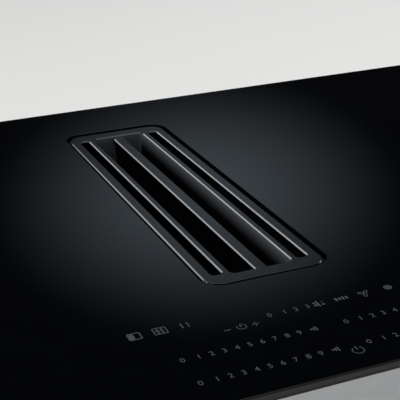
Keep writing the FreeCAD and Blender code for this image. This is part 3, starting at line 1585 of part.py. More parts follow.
def build():
    """Write every piece of the cooktop."""
    os.makedirs("parts", exist_ok=True)
    save("glass_plate", glass_plate())
    save("glass_seal", glass_seal())
    save("grille_frame", grille_frame())
    save("grille_blade", grille_blade())
    save("grille_screws", grille_screws())
    save("grille_pads", grille_pads())
    save("hood_collar", hood_collar())
    save("collar_seal", collar_seal())
    save("casing_tray", casing_tray())
    save("glass_brackets", glass_brackets())
    save("worktop_springs", worktop_springs())
    save("spring_screws", spring_screws())
    for name, (x, y) in COILS.items():
        save("coil_winding_" + name, coil_winding(x, y))
        save("coil_former_" + name, coil_former(x, y))
    save("ferrite_bars", ferrite_bars())
    save("mica_sheets", mica_sheets())
    save("temperature_sensors", temperature_sensors())
    for name, side in SIDES.items():
        save("coil_plate_" + name, coil_plate(side))
        save("power_board_" + name, power_board(side))
        save("heat_sink_" + name, heat_sink(side))
        save("cooling_fan_housing_" + name, blower_housing(side))
        save("cooling_fan_wheel_" + name, blower_wheel(side))
    save("board_capacitors", board_capacitors())
    save("filter_chokes", filter_chokes())
    save("touch_board", touch_board())
    save("touch_board_holder", touch_board_holder())
    save("terminal_block", terminal_block())
    save("terminal_cover", terminal_cover())
    save("cable_gland", cable_gland())
    save("base_housing", base_housing())
    save("fan_scroll", fan_scroll())
    save("plenum_cover", plenum_cover())
    save("housing_screws", housing_screws())
    save("fan_deck", fan_deck())
    save("deck_screws", deck_screws())
    save("impeller", impeller())
    save("motor_rotor", motor_rotor())
    save("motor_shaft", motor_shaft())
    save("motor_bracket", motor_bracket())
    save("motor_stator", motor_stator())
    save("motor_windings", motor_windings())
    save("motor_mounts", motor_mounts())
    save("outlet_spigot", outlet_spigot())
    save("outlet_seal", outlet_seal())
    save("filter_frame", filter_frame())
    save("grease_filters", grease_filters())
    save("drip_tray", drip_tray())


build()
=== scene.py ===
"""Downdraft induction cooktop: finishes, fine pieces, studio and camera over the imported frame."""

import json
import logging
import math
from dataclasses import dataclass, field
from enum import Enum
from typing import Any, Callable, ClassVar, Iterable, Optional, Sequence, Union

import bmesh
import bpy
from mathutils import Matrix, Vector


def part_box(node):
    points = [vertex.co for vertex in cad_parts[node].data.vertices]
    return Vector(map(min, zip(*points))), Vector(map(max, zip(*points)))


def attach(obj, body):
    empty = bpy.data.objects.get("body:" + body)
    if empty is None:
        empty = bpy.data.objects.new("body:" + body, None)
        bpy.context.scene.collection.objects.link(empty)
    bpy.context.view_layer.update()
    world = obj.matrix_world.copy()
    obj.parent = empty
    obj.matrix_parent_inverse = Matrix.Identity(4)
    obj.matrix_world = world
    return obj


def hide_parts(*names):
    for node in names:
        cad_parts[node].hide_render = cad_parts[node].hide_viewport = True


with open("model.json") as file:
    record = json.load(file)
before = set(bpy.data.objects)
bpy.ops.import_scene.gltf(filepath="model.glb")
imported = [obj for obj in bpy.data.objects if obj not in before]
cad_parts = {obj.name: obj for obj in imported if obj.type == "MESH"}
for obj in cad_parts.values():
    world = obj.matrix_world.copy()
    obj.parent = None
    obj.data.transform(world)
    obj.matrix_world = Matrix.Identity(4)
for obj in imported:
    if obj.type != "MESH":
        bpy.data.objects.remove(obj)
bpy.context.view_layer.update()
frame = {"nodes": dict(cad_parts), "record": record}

LOG = logging.getLogger("cooktop")
MM = 0.001
VENT_Y = 27.5 * MM  # where the vent's middle lies, behind the middle of the glass
LEVEL = 0.99999  # faces whose normal is this upright are shaded flat
JOIN = 1e-6  # points closer together than this are one point
Colour = tuple[float, float, float]
Point = tuple[float, float, float]
Loop = list[tuple[float, float]]
Span = tuple[float, float]
Plain = dict[str, float]
Values = dict[Union[str, int], Any]
Socket = bpy.types.NodeSocket
Term = Union["Signal", float]


# ---- shader maths ----------------------------------------------------------------------------
def arithmetic(operation: str, swapped: bool = False) -> Callable[["Signal", Term], "Signal"]:
    """Makes a method of Signal that adds one Math node.

    Args:
        operation: the Math node's operation.
        swapped: whether the signal itself is the node's second input.

    Returns:
        The method.
    """

    def method(self: "Signal", other: Term) -> "Signal":
        """The node's result for the signal and another term."""
        return self.math(operation, *((other, self) if swapped else (self, other)))

    return method


class Signal:
    """A number that changes over a surface: one node socket with arithmetic."""

    def __init__(self, tree: "Tree", socket: Socket) -> None:
        """Wraps a socket of the given tree."""
        self.tree = tree
        self.socket = socket

    def math(self, operation: str, *terms: Term) -> "Signal":
        """Adds one Math node with these inputs."""
        values = dict(enumerate(terms))
        return Signal(self.tree, self.tree.out("ShaderNodeMath", values, operation=operation))

    __add__ = arithmetic("ADD")
    __radd__ = arithmetic("ADD", True)
    __sub__ = arithmetic("SUBTRACT")
    __rsub__ = arithmetic("SUBTRACT", True)
    __mul__ = arithmetic("MULTIPLY")
    __rmul__ = arithmetic("MULTIPLY", True)
    __truediv__ = arithmetic("DIVIDE")
    __pow__ = arithmetic("POWER")
    largest = arithmetic("MAXIMUM")

    def size(self) -> "Signal":
        """The value without its sign."""
        return self.math("ABSOLUTE", self)

    def step(self, low: float, high: float, to_low: float = 0.0, to_high: float = 1.0) -> "Signal":
        """Smooth step between two levels.

        Args:
            low: where the step starts.
            high: where it ends.
            to_low: the result before the start.
            to_high: the result after the end.

        Returns:
            The stepped value.
        """
        ends = {"From Min": low, "From Max": high, "To Min": to_low, "To Max": to_high}
        settings = {"interpolation_type": "SMOOTHSTEP", "clamp": True}
        node = self.tree.out("ShaderNodeMapRange", {"Value": self, **ends}, **settings)
        return Signal(self.tree, node)

    def fall(self, low: float, high: float) -> "Signal":
        """Smooth step down, from 1 to 0."""
        return self.step(low, high, 1.0, 0.0)


class Tree:
    """One node tree and the single way in which nodes are added to it."""

    def __init__(self, tree: bpy.types.NodeTree) -> None:
        """Empties the tree."""
        self.tree = tree
        tree.nodes.clear()

    def add(self, kind: str, values: Optional[Values] = None, **settings: Any) -> bpy.types.Node:
        """Adds a node.

        Args:
            kind: the node's type.
            values: numbers, colours, sockets or signals for its inputs, by name or index.
            settings: the node's own settings, which are set first.

        Returns:
            The new node.
        """
        node = self.tree.nodes.new(kind)
        for name, value in settings.items():
            setattr(node, name, value)
        for name, value in (values or {}).items():
            self.feed(self.find(node.inputs, name), value)
        return node

    def out(self, kind: str, values: Optional[Values] = None, **settings: Any) -> Socket:
        """Adds a node and gives its first output."""
        return self.add(kind, values, **settings).outputs[0]

    @staticmethod
    def find(sockets: Any, name: Union[str, int]) -> Socket:
        """The socket with this identifier, or else with this name or index."""
        same = [socket for socket in sockets if socket.identifier == name]
        return same[0] if same else sockets[name]

    def feed(self, socket: Socket, value: Any) -> None:
        """Feeds an input.

        Args:
            socket: the input.
            value: a signal or socket to link, or a plain value to set.
        """
        if isinstance(value, Signal):
            value = value.socket
        if isinstance(value, Socket):
            self.tree.links.new(value, socket)
        else:
            socket.default_value = (*value, 1.0) if socket.type == "RGBA" else value


class Shade(Tree):
    """The tree of a surface or of the studio's sky."""

    def __init__(self, tree: bpy.types.NodeTree) -> None:
        """Adds the point on the piece, in the frame of the whole cooktop."""
        super().__init__(tree)
        self.coordinates = self.add("ShaderNodeTexCoord")
        self.place = self.find(self.coordinates.outputs, "Object")

    def axes(self) -> list[Signal]:
        """The x, y and z of the point on the piece."""
        node = self.add("ShaderNodeSeparateXYZ", {"Vector": self.place})
        return [Signal(self, socket) for socket in node.outputs]

    def stretched(self, scale: Point) -> Socket:
        """The point on the piece with every axis multiplied by a factor."""
        values = {"Vector": self.place, "Scale": scale}
        return self.out("ShaderNodeMapping", values, vector_type="POINT")

    def noise(self, scale: float, detail: float = 2.0, place: Optional[Socket] = None) -> Signal:
        """Clouds between 0 and 1, so many to a metre, with so many finer layers on top."""
        values = {"Vector": place or self.place, "Scale": scale, "Detail": detail}
        return Signal(self, self.out("ShaderNodeTexNoise", values, noise_dimensions="3D"))

    def cells(self, scale: float, what: str = "Distance") -> Signal:
        """Cells, so many to a metre: the distance to the middle, or a random "Color" for each."""
        values = {"Vector": self.place, "Scale": scale}
        node = self.add("ShaderNodeTexVoronoi", values, feature="F1")
        return Signal(self, self.find(node.outputs, what))

    def mixed(self, share: Term, first: Any, second: Any) -> Socket:
        """The colour between two: 0 is the first and 1 is the second."""
        values = {"Factor_Float": share, "A_Color": first, "B_Color": second}
        node = self.add("ShaderNodeMix", values, data_type="RGBA")
        return self.find(node.outputs, "Result_Color")

    def dot(self, vector: Socket, other: Point) -> Signal:
        """Dot product of a vector with a fixed one."""
        node = self.add("ShaderNodeVectorMath", {0: vector, 1: other}, operation="DOT_PRODUCT")
        return Signal(self, self.find(node.outputs, "Value"))

    def bump(self, height: Signal, depth: float, edge: float = 0.0) -> Socket:
        """Normal of a fine relief.

        Args:
            height: the relief, from 0 to 1.
            depth: how deep it is, in metres.
            edge: the radius that the piece's sharp edges seem to have.

        Returns:
            The normal.
        """
        values: Values = {"Height": height, "Distance": depth, "Strength": 1.0}
        if edge:
            values["Normal"] = self.out("ShaderNodeBevel", {"Radius": edge}, samples=4)
        return self.out("ShaderNodeBump", values)


class Surface(Shade):
    """A material with one Principled shader."""

    def __init__(self, name: str, plain: Plain) -> None:
        """Makes the material.

        Args:
            name: the material's name.
            plain: values for the shader's sockets that stay the same all over.
        """
        self.material = bpy.data.materials.new(name)
        self.material.use_nodes = True
        super().__init__(self.material.node_tree)
        self.shader = self.add("ShaderNodeBsdfPrincipled", plain)
        self.output = self.add("ShaderNodeOutputMaterial", {"Surface": self.shader.outputs[0]})

    def set(self, name: str, value: Any) -> None:
        """Feeds one socket of the shader."""
        self.feed(self.find(self.shader.inputs, name), value)

    def lay(self, colour: Any, rough: Term, normal: Optional[Socket] = None) -> None:
        """Feeds the sockets that every finish feeds.

        Args:
            colour: for Base Color.
            rough: for Roughness.
            normal: for Normal, which stays the mesh's own without it.
        """
        self.set("Base Color", colour)
        self.set("Roughness", rough)
        if normal is not None:
            self.set("Normal", normal)

    def veil(self, mask: Signal, colour: Colour, rough: float, ior: float) -> None:
        """Lays a second, matt shader over the first where a mask says so.

        Args:
            mask: 0 for the first shader, 1 for the second.
            colour: the second shader's colour.
            rough: its roughness.
            ior: its index of refraction.
        """
        nap = self.noise(900.0, 3.0)
        base = self.mixed(nap, colour, tone(colour, 1.8))
        values = {"Base Color": base, "Roughness": rough + 0.1 * nap, "IOR": ior}
        second = self.out("ShaderNodeBsdfPrincipled", values)
        both = self.out("ShaderNodeMixShader", {0: mask, 1: self.shader.outputs[0], 2: second})
        self.feed(self.output.inputs[0], both)


# ---- finishes --------------------------------------------------------------------------------
def tone(colour: Colour, factor: float, lift: float = 0.0) -> Colour:
    """A colour made lighter or darker, up to white."""
    return tuple(min(1.0, c * factor + lift) for c in colour)


class Finish:
    """A look that can be made into a material."""

    plain: ClassVar[Plain] = {"IOR": 1.5}

    def make(self, name: str) -> bpy.types.Material:
        """Makes the material.

        Args:
            name: its name.

        Returns:
            The material.
        """
        s = Surface(name, self.plain)
        self.paint(s)
        return s.material

    def paint(self, s: Surface) -> None:
        """Feeds the sockets of a surface, which each finish does its own way."""
        raise NotImplementedError


@dataclass(frozen=True)
class GlassFinish(Finish):
    """Black glass ceramic: polished, a little uneven, with the faintest wipe marks.

    Its edges are ground, and those of the vent's cut-out are matt black.
    """

    plain: ClassVar[Plain] = {"IOR": 1.52}
    body: Colour = (0.0006, 0.0008, 0.0012)
    smear: float = 0.020
    gloss: float = 0.035
    ground: float = 0.42
    edge: Span = (213.80 * MM, 213.93 * MM)
    black_edge: Span = (213.70 * MM, 213.80 * MM)
    vent_x: Span = (60.0 * MM, 70.0 * MM)
    vent_y: Span = (180.0 * MM, 190.0 * MM)

    def paint(self, s: Surface) -> None:
        """Feeds the sockets of a surface.

        Args:
            s: the surface.
        """
        x, y, z = s.axes()
        edge = z.step(*self.edge, self.ground, 0.0)
        wipe = s.noise(9.0, 3.0, s.stretched((1.0, 3.2, 1.0)))
        rough = edge + self.gloss + wipe.step(0.42, 0.72) * self.smear + s.noise(420.0) * 0.01
        s.lay(s.mixed(s.noise(60.0, 4.0), self.body, tone(self.body, 1.8)), rough)
        by_vent = x.size().fall(*self.vent_x) * (y - VENT_Y).size().fall(*self.vent_y)
        s.veil(by_vent * z.fall(*self.black_edge), self.body, 0.9, 1.12)


@dataclass(frozen=True)
class CoatFinish(Finish):
    """Matt coating on metal: fine orange peel and a little metallic fleck.

    The face has the coat's own colour. Below it, the walls of the throat and its end wall take
    lighter copies of the coat, which is painted light, and painted shade of matt black grows over
    them down the throat and covers the walls of the narrow slots. The bevels are polished metal
    without the coat, apart from the rear end and the left half of the front end, and the outermost
    bevel in front is a painted shadow of matt black.
    """

    plain: ClassVar[Plain] = {"IOR": 1.7}
    tint: Colour = (0.0050, 0.0056, 0.0068)
    # painted light: a lighter copy of the coat for the throat's walls, for the light falling on them
    wall: Colour = (0.112, 0.122, 0.138)
    # painted light: another lighter copy of the coat for the throat's end wall
    end_wall: Colour = (0.075, 0.080, 0.087)
    edge: Colour = (0.66, 0.69, 0.72)
    # painted shade: near-black matt colour laid over the deep throat, the slot walls and the front
    # bevel
    bare: Colour = (0.0006, 0.0006, 0.0008)
    rough: float = 0.14
    fleck: float = 0.14
    grain: float = 0.012 * MM
    face: Span = (212.10 * MM, 212.25 * MM)
    bevel: Span = (212.98 * MM, 213.06 * MM)
    # painted shade: the heights over which the throat's walls go from full painted shade to none
    thins: Span = (198.0 * MM, 211.5 * MM)
    # painted shade: slot walls from this distance out from the middle are near-black
    slot: Span = (23.5 * MM, 23.9 * MM)
    throat_end: Span = (143.7 * MM, 145.2 * MM)
    bright_behind: Span = (-152.0 * MM, -148.0 * MM)
    bright_right_of: Span = (0.0, 1.0 * MM)
    bright_before: Span = (141.0 * MM, 143.0 * MM)
    # painted shadow: the outermost front bevel, left of a point, is made near-black
    black_before: Span = (-155.5 * MM, -152.5 * MM)
    black_left_of: Span = (34.0 * MM, 37.0 * MM)

    def paint(self, s: Surface) -> None:
        """Feeds the sockets of a surface.

        Args:
            s: the surface.
        """
        x, y, z = s.axes()
        along = y - VENT_Y
        below = z.fall(*self.face)
        end = along.size().step(*self.throat_end)
        cloud = s.noise(34.0, 3.0)
        shade = 0.7 * s.cells(2600.0, "Color") + 0.3 * cloud
        face, wall = (
            s.mixed(shade, tone(colour, 1 - self.fleck), tone(colour, 1 + 2 * self.fleck))
            for colour in (self.tint, self.wall)
        )
        bevel = z.fall(*self.bevel)
        bright = along.step(*self.bright_behind).largest(x.step(*self.bright_right_of))
        cut = bevel * (1.0 - below) * bright * along.fall(*self.bright_before)
        # painted shadow along the outermost front bevel
        front = bevel * along.fall(*self.black_before) * x.fall(*self.black_left_of)
        # painted shade, darker down the throat and less so at its end
        deep = z.fall(*self.thins) ** 0.7 * (1.0 - 0.7 * end)
        # painted shade over the deep throat and the slot walls, below the face
        hidden = below * deep.largest(x.size().step(*self.slot))
        # below the face the walls take the lighter copies of the coat, which is painted light
        s.lay(
            s.mixed(cut, s.mixed(below, face, s.mixed(end, wall, self.end_wall)), self.edge),
            self.rough + 0.05 * s.noise(900.0) + 0.03 * cloud + 0.4 * below,
            s.bump(s.noise(3300.0), self.grain),
        )
        s.set("Metallic", cut)
        # lays the near-black painted shade and painted shadow over the coat
        s.veil(hidden.largest(front), self.bare, 0.85, 1.14)


@dataclass(frozen=True)
class BlackenedFinish(Finish):
    """Painted shade for the flanks of the blade: a near-black matt finish that stands for their shade.
    """

    plain: ClassVar[Plain] = {"IOR": 1.16}
    tint: Colour = (0.0010, 0.0010, 0.0012)
    rough: float = 0.78

    def paint(self, s: Surface) -> None:
        """Feeds the sockets of a surface.

        Args:
            s: the surface.
        """
        nap = s.noise(1400.0, 3.0)
        colour = s.mixed(nap, self.tint, tone(self.tint, 1.9))
        s.lay(colour, self.rough + 0.15 * nap, s.bump(nap, 0.03 * MM))


@dataclass(frozen=True)
class MouldedFinish(Finish):
    """Injection moulded plastic with an etched grain and slight flow marks."""

    plain: ClassVar[Plain] = {"IOR": 1.48}
    tint: Colour = (0.05, 0.052, 0.056)
    rough: float = 0.52
    grain_size: float = 0.8 * MM
    grain_depth: float = 0.05 * MM
    edge: float = 0.5 * MM

    def paint(self, s: Surface) -> None:
        """Feeds the sockets of a surface.

        Args:
            s: the surface.
        """
        flow = s.noise(7.0, 4.0, s.stretched((1.0, 1.0, 2.4)))
        speck = s.noise(1.2 / self.grain_size, 1.0)
        grain = s.cells(1.0 / self.grain_size) * 0.7 + 0.3 * speck
        dark, light = tone(self.tint, 0.86), tone(self.tint, 1.22, 0.004)
        s.lay(
            s.mixed(0.65 * flow + 0.35 * speck, dark, light),
            self.rough - 0.08 + 0.16 * flow + 0.05 * speck,
            s.bump(grain, self.grain_depth, self.edge),
        )


@dataclass(frozen=True)
class SheetFinish(Finish):
    """Zinc-plated sheet: spangle, rolling lines and duller patches."""

    plain: ClassVar[Plain] = {"Metallic": 1.0}
    tint: Colour = (0.56, 0.57, 0.585)
    rough: float = 0.34
    spangle: float = 7.0 * MM
    edge: float = 0.5 * MM

    def paint(self, s: Surface) -> None:
        """Feeds the sockets of a surface.

        Args:
            s: the surface.
        """
        plate = s.cells(1.0 / self.spangle, "Color")
        roll = s.noise(120.0, 3.0, s.stretched((0.06, 1.6, 1.6)))
        patch = s.noise(6.0, 4.0)
        s.lay(
            s.mixed(0.45 * plate + 0.3 * roll + 0.25 * patch, tone(self.tint, 0.80), self.tint),
            self.rough + 0.12 * plate + 0.12 * patch + 0.06 * roll,
            s.bump(roll * 0.6 + plate * 0.2, 0.02 * MM, self.edge),
        )


class Axis(Enum):
    """The way that drawn or brushed lines run."""

    X = (0.03, 1.0, 1.0)
    Y = (1.0, 0.03, 1.0)
    Z = (1.0, 1.0, 0.03)


@dataclass(frozen=True)
class DrawnFinish(Finish):
    """Drawn or brushed metal with fine lines along one axis."""

    plain: ClassVar[Plain] = {"Metallic": 1.0}
    tint: Colour = (0.62, 0.63, 0.64)
    rough: float = 0.30
    along: Axis = Axis.Y
    lines: float = 2600.0
    edge: float = 0.3 * MM

    def paint(self, s: Surface) -> None:
        """Feeds the sockets of a surface.

        Args:
            s: the surface.
        """
        line = s.noise(self.lines, 2.0, s.stretched(self.along.value))
        cloud = s.noise(22.0, 3.0)
        s.lay(
            s.mixed(0.6 * line + 0.4 * cloud, tone(self.tint, 0.78), self.tint),
            self.rough + 0.14 * line + 0.08 * cloud,
            s.bump(line, 0.01 * MM, self.edge),
        )


@dataclass(frozen=True)
class StrandFinish(Finish):
    """Lacquered copper wire: warm metal, with painted shade darkening the hollows between the strands.
    """

    plain: ClassVar[Plain] = {"Metallic": 1.0, "Coat Roughness": 0.2}
    tint: Colour = (0.62, 0.30, 0.13)
    strand: float = 0.9 * MM

    def paint(self, s: Surface) -> None:
        """Feeds the sockets of a surface.

        Args:
            s: the surface.
        """
        wire = s.cells(1.0 / self.strand)
        cloud = s.noise(30.0, 3.0)
        # painted shade: darker towards the hollows between the strands
        colour = s.mixed(0.75 * wire + 0.25 * cloud, self.tint, tone(self.tint, 0.35))
        s.lay(colour, 0.24 + 0.22 * wire, s.bump(1.0 - wire, 0.12 * MM))
        s.set("Coat Weight", 0.25 + 0.3 * cloud)


@dataclass(frozen=True)
class RubberFinish(Finish):
    """Soft elastomer or closed-cell foam, dull and slightly dusty."""

    plain: ClassVar[Plain] = {"IOR": 1.45}
    tint: Colour = (0.018, 0.018, 0.019)
    pore: float = 0.7 * MM
    depth: float = 0.05 * MM

    def paint(self, s: Surface) -> None:
        """Feeds the sockets of a surface.

        Args:
            s: the surface.
        """
        pore = s.cells(1.0 / self.pore)
        dust = s.noise(40.0, 5.0)
        share = dust.step(0.4, 0.75) * 0.6 + 0.2 * pore
        colour = s.mixed(share, self.tint, tone(self.tint, 1.9, 0.006))
        s.lay(colour, 0.72 + 0.16 * dust, s.bump(pore, self.depth))


@dataclass(frozen=True)
class BoardFinish(Finish):
    """Printed circuit board: lacquered laminate with copper tracks under the lacquer."""

    lacquer: Colour = (0.012, 0.085, 0.040)
    track: Colour = (0.035, 0.165, 0.075)
    pitch: float = 5.0 * MM

    def paint(self, s: Surface) -> None:
        """Feeds the sockets of a surface.

        Args:
            s: the surface.
        """
        values = {"Vector": s.place, "Scale": 1.0 / self.pitch, "Randomness": 0.55}
        gaps = s.out("ShaderNodeTexVoronoi", values, feature="DISTANCE_TO_EDGE")
        track = Signal(s, gaps).step(0.10, 0.16)
        colour = s.mixed(0.9 * track + 0.1 * s.noise(1500.0, 1.0), self.lacquer, self.track)
        s.lay(colour, 0.30 + 0.12 * track, s.bump(track, 0.04 * MM))


@dataclass(frozen=True)
class FiredFinish(Finish):
    """Sintered, pressed or fired body: matt with fine dark and light specks."""

    tint: Colour = (0.6, 0.58, 0.54)
    rough: float = 0.6
    speck: float = 0.5 * MM
    contrast: float = 0.3

    def paint(self, s: Surface) -> None:
        """Feeds the sockets of a surface.

        Args:
            s: the surface.
        """
        speck = s.cells(1.0 / self.speck, "Color")
        dark, light = (tone(self.tint, 1 + sign * self.contrast) for sign in (-1, 1))
        s.lay(
            s.mixed(0.6 * speck + 0.4 * s.noise(50.0, 4.0), dark, light),
            self.rough + 0.15 * speck,
            s.bump(0.5 * speck + 0.5 * s.noise(900.0), 0.03 * MM),
        )


@dataclass(frozen=True)
class PrintFinish(Finish):
    """Screen-printed ceramic ink, fired into the glass."""

    ink: Colour = (0.064, 0.067, 0.071)

    def paint(self, s: Surface) -> None:
        """Feeds the sockets of a surface."""
        grit = s.noise(5200.0)
        s.lay(s.mixed(grit, tone(self.ink, 0.78), self.ink), 0.42 + 0.1 * grit)


@dataclass(frozen=True)
class FloorFinish(Finish):
    """Pale seamless studio floor."""

    plain: ClassVar[Plain] = {"IOR": 1.4}
    tint: Colour = (0.82, 0.82, 0.81)

    def paint(self, s: Surface) -> None:
        """Feeds the sockets of a surface."""
        cloud = s.noise(0.7, 3.0)
        s.lay(s.mixed(cloud, tone(self.tint, 0.985), self.tint), 0.75 + 0.1 * cloud)


BLADE_COAT = CoatFinish(
    face=(208.85 * MM, 209.0 * MM),
    bevel=(211.78 * MM, 211.86 * MM),
    # heights of the painted shade down the blade's walls
    thins=(190.0 * MM, 206.0 * MM),
)
FINISHES: dict[str, Finish] = {
    "black_glass": GlassFinish(),
    "foam_seal": RubberFinish((0.030, 0.030, 0.031), 0.5 * MM, 0.12 * MM),
    "seal_rubber": RubberFinish(),
    "grille_coat": CoatFinish(),
    "blade_coat": BLADE_COAT,
    "screw_steel": DrawnFinish((0.60, 0.60, 0.61), 0.26, Axis.Z, 3200.0),
    "pad_silicone": RubberFinish((0.07, 0.07, 0.072), 1.2 * MM, 0.01 * MM),
    # partly painted shade: black plastic made darker still, so the gap round the vent reads as shade
    "collar_plastic": MouldedFinish((0.0025, 0.0025, 0.0028), 0.66, 0.7 * MM),
    "tray_steel": SheetFinish(),
    "spring_steel": DrawnFinish((0.40, 0.41, 0.43), 0.28, Axis.Z, 1800.0),
    "litz_copper": StrandFinish(),
    "former_plastic": MouldedFinish((0.62, 0.61, 0.57), 0.5),
    "ferrite": FiredFinish((0.055, 0.055, 0.06), 0.55, 0.6 * MM),
    "mica": FiredFinish((0.62, 0.58, 0.49), 0.45, 3.0 * MM, 0.14),
    "sensor_ceramic": FiredFinish((0.78, 0.77, 0.74), 0.5, 0.8 * MM, 0.05),
    "plate_aluminium": DrawnFinish((0.72, 0.73, 0.74), 0.30, Axis.Y, 1500.0),
    "board_green": BoardFinish(),
    "sink_aluminium": DrawnFinish((0.70, 0.71, 0.72), 0.30, Axis.Y),
    "capacitor_box": MouldedFinish((0.60, 0.42, 0.05), 0.35, 1.6 * MM, 0.02 * MM),
    "choke_core": FiredFinish((0.08, 0.074, 0.068), 0.6),
    "blower_plastic": MouldedFinish((0.020, 0.0205, 0.022), 0.5),
    "wheel_plastic": MouldedFinish((0.04, 0.04, 0.042), 0.45),
    "holder_plastic": MouldedFinish((0.68, 0.68, 0.66), 0.5),
    "terminal_plastic": MouldedFinish((0.74, 0.73, 0.69), 0.42, 1.4 * MM),
    "cover_plastic": MouldedFinish((0.035, 0.036, 0.038), 0.5),
    "gland_plastic": MouldedFinish((0.018, 0.018, 0.019), 0.45, 0.6 * MM),
    "housing_plastic": MouldedFinish((0.062, 0.065, 0.070), 0.54, 0.9 * MM, 0.07 * MM, 0.8 * MM),
    "impeller_plastic": MouldedFinish((0.10, 0.10, 0.11), 0.42),
    "rotor_steel": DrawnFinish((0.42, 0.42, 0.44), 0.32, Axis.Z),
    "shaft_steel": DrawnFinish((0.66, 0.66, 0.67), 0.18, Axis.Z, 4000.0),
    "bracket_cast": FiredFinish((0.42, 0.42, 0.43), 0.42, 0.7 * MM, 0.12),
    "stator_steel": DrawnFinish((0.32, 0.32, 0.33), 0.38, Axis.X, 1400.0),
    "mount_rubber": RubberFinish(),
    "filter_plastic": MouldedFinish((0.030, 0.031, 0.033), 0.5, 0.6 * MM),
    "filter_mesh": DrawnFinish((0.58, 0.59, 0.60), 0.34, Axis.Y, 1200.0),
    "drip_plastic": MouldedFinish((0.075, 0.076, 0.080), 0.46, 1.0 * MM, 0.03 * MM),
    "ink": PrintFinish(),
    "blade_flank": BlackenedFinish(),
    "floor": FloorFinish(),
}


class Palette:
    """The materials of the whole cooktop, each made once."""

    def __init__(self) -> None:
        """Starts empty."""
        self._made: dict[str, bpy.types.Material] = {}

    def get(self, slot: str) -> bpy.types.Material:
        """The material of a slot of the record, or of a name of the studio's own.

        Args:
            slot: its name in FINISHES.

        Returns:
            The material.
        """
        if slot not in self._made:
            self._made[slot] = FINISHES[slot].make(slot)
        return self._made[slot]


# ---- mesh tools ------------------------------------------------------------------------------
def rounded_loop(half_x: float, half_y: float, radius: float, steps: int = 8) -> Loop:
    """Rounded rectangle about the origin, counter-clockwise.

    Args:
        half_x: half of its width.
        half_y: half of its depth.
        radius: its corner radius.
        steps: points from one end of a corner to the other, less one.

    Returns:
        The points.
    """
    loop = []
    for turn, (sx, sy) in enumerate(((1, 1), (-1, 1), (-1, -1), (1, -1))):
        cx, cy = sx * (half_x - radius), sy * (half_y - radius)
        for step in range(steps + 1):
            angle = math.pi / 2 * (turn + step / steps)
            loop.append((cx + radius * math.cos(angle), cy + radius * math.sin(angle)))
    return loop


def pairs(ring: Sequence[Any]) -> Iterable[tuple[Any, Any]]:
    """Every item of a ring with the one after it."""
    return zip(ring, [*ring[1:], ring[0]])


def linked(name: str, data: Any) -> bpy.types.Object:
    """Puts data into the scene as an object.

    Args:
        name: the object's name.
        data: its mesh, curve, light or camera.

    Returns:
        The object, at the origin.
    """
    holder = bpy.data.objects.new(name, data)
    bpy.context.scene.collection.objects.link(holder)
    return holder


def plain_mesh(holder: bpy.types.Object) -> bpy.types.Mesh:
    """Turns an object into the plain mesh that it shows.

    Args:
        holder: the object, which is removed.

    Returns:
        The mesh.
    """
    bpy.context.view_layer.update()
    graph = bpy.context.evaluated_depsgraph_get()
    data = bpy.data.meshes.new_from_object(holder.evaluated_get(graph))
    bpy.data.objects.remove(holder)
    return data


def finished(
    name: str, data: bpy.types.Mesh, sharp: float, material: Optional[bpy.types.Material] = None
) -> bpy.types.Object:
    """Links a mesh as an object, smooth except on level faces and at sharp edges.

    Args:
        name: the piece's name.
        data: its mesh.
        sharp: edges that turn by more than this many degrees are shaded sharp.
        material: its material, or None to keep what the mesh has.

    Returns:
        The object.
    """
    data.name = name
    if material is not None:
        data.materials.clear()
        data.materials.append(material)
    data.shade_smooth()
    data.set_sharp_from_angle(angle=math.radians(sharp))
    for face in data.polygons:
        if abs(face.normal.z) > LEVEL:
            face.use_smooth = False
    return linked(name, data)


class Body:
    """A closed mesh built up from rings of points, walls between them and flat faces."""

    def __init__(self) -> None:
        """Starts with an empty mesh."""
        self.mesh = bmesh.new()

    def ring(self, points: Iterable[Sequence[float]]) -> list[bmesh.types.BMVert]:
        """Adds points without faces."""
        return [self.mesh.verts.new(p) for p in points]

    def walls(self, rings: Sequence[list]) -> None:
        """Adds quads between each ring and the next.

        Args:
            rings: the rings, all of the same length.
        """
        for low, high in zip(rings, rings[1:]):
            for (a, b), (d, c) in zip(pairs(low), pairs(high)):
                self.mesh.faces.new((a, b, c, d))

    def flat(self, rings: Sequence[list]) -> None:
        """Fills a flat region.

        Args:
            rings: its outer ring and the rings of the holes in it.
        """
        edges = self.mesh.edges
        around = [pair for ring in rings for pair in pairs(ring)]
        made = [edges.get(pair) or edges.new(pair) for pair in around]
        bmesh.ops.triangle_fill(self.mesh, use_beauty=True, use_dissolve=False, edges=made)

    def prism(self, section: Sequence[Sequence[float]], along: Vector) -> None:
        """Adds a closed prism.

        Args:
            section: its corners.
            along: the way and the length that they are swept.
        """
        ends = [self.ring(section), self.ring([Vector(p) + along for p in section])]
        self.walls(ends)
        for end in ends:
            self.mesh.faces.new(end)

    def done(
        self, name: str, material: bpy.types.Material, sharp: float = 30.0, merge: bool = False
    ) -> bpy.types.Object:
        """Turns the mesh into an object.

        Args:
            name: the piece's name.
            material: its material.
            sharp: edges that turn by more than this many degrees are shaded sharp.
            merge: whether points in one place are joined first.

        Returns:
            The object, at the origin.
        """
        if merge:
            bmesh.ops.remove_doubles(self.mesh, verts=self.mesh.verts, dist=JOIN)
        bmesh.ops.recalc_face_normals(self.mesh, faces=self.mesh.faces)
        data = bpy.data.meshes.new(name)
        self.mesh.to_mesh(data)
        self.mesh.free()
        return finished(name, data, sharp, material)


def settle(piece: bpy.types.Object, body: str, slot: str, *replaced: str) -> None:
    """Puts a finished piece on its body and reports it.

    Args:
        piece: the piece.
        body: the body that it moves with.
        slot: the record's material slot; not used.
        replaced: the nodes that it stands for.
    """
    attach(piece, body)
    if replaced:
        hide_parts(*replaced)
    LOG.info("%s on %s, %d faces", piece.name, body, len(piece.data.polygons))


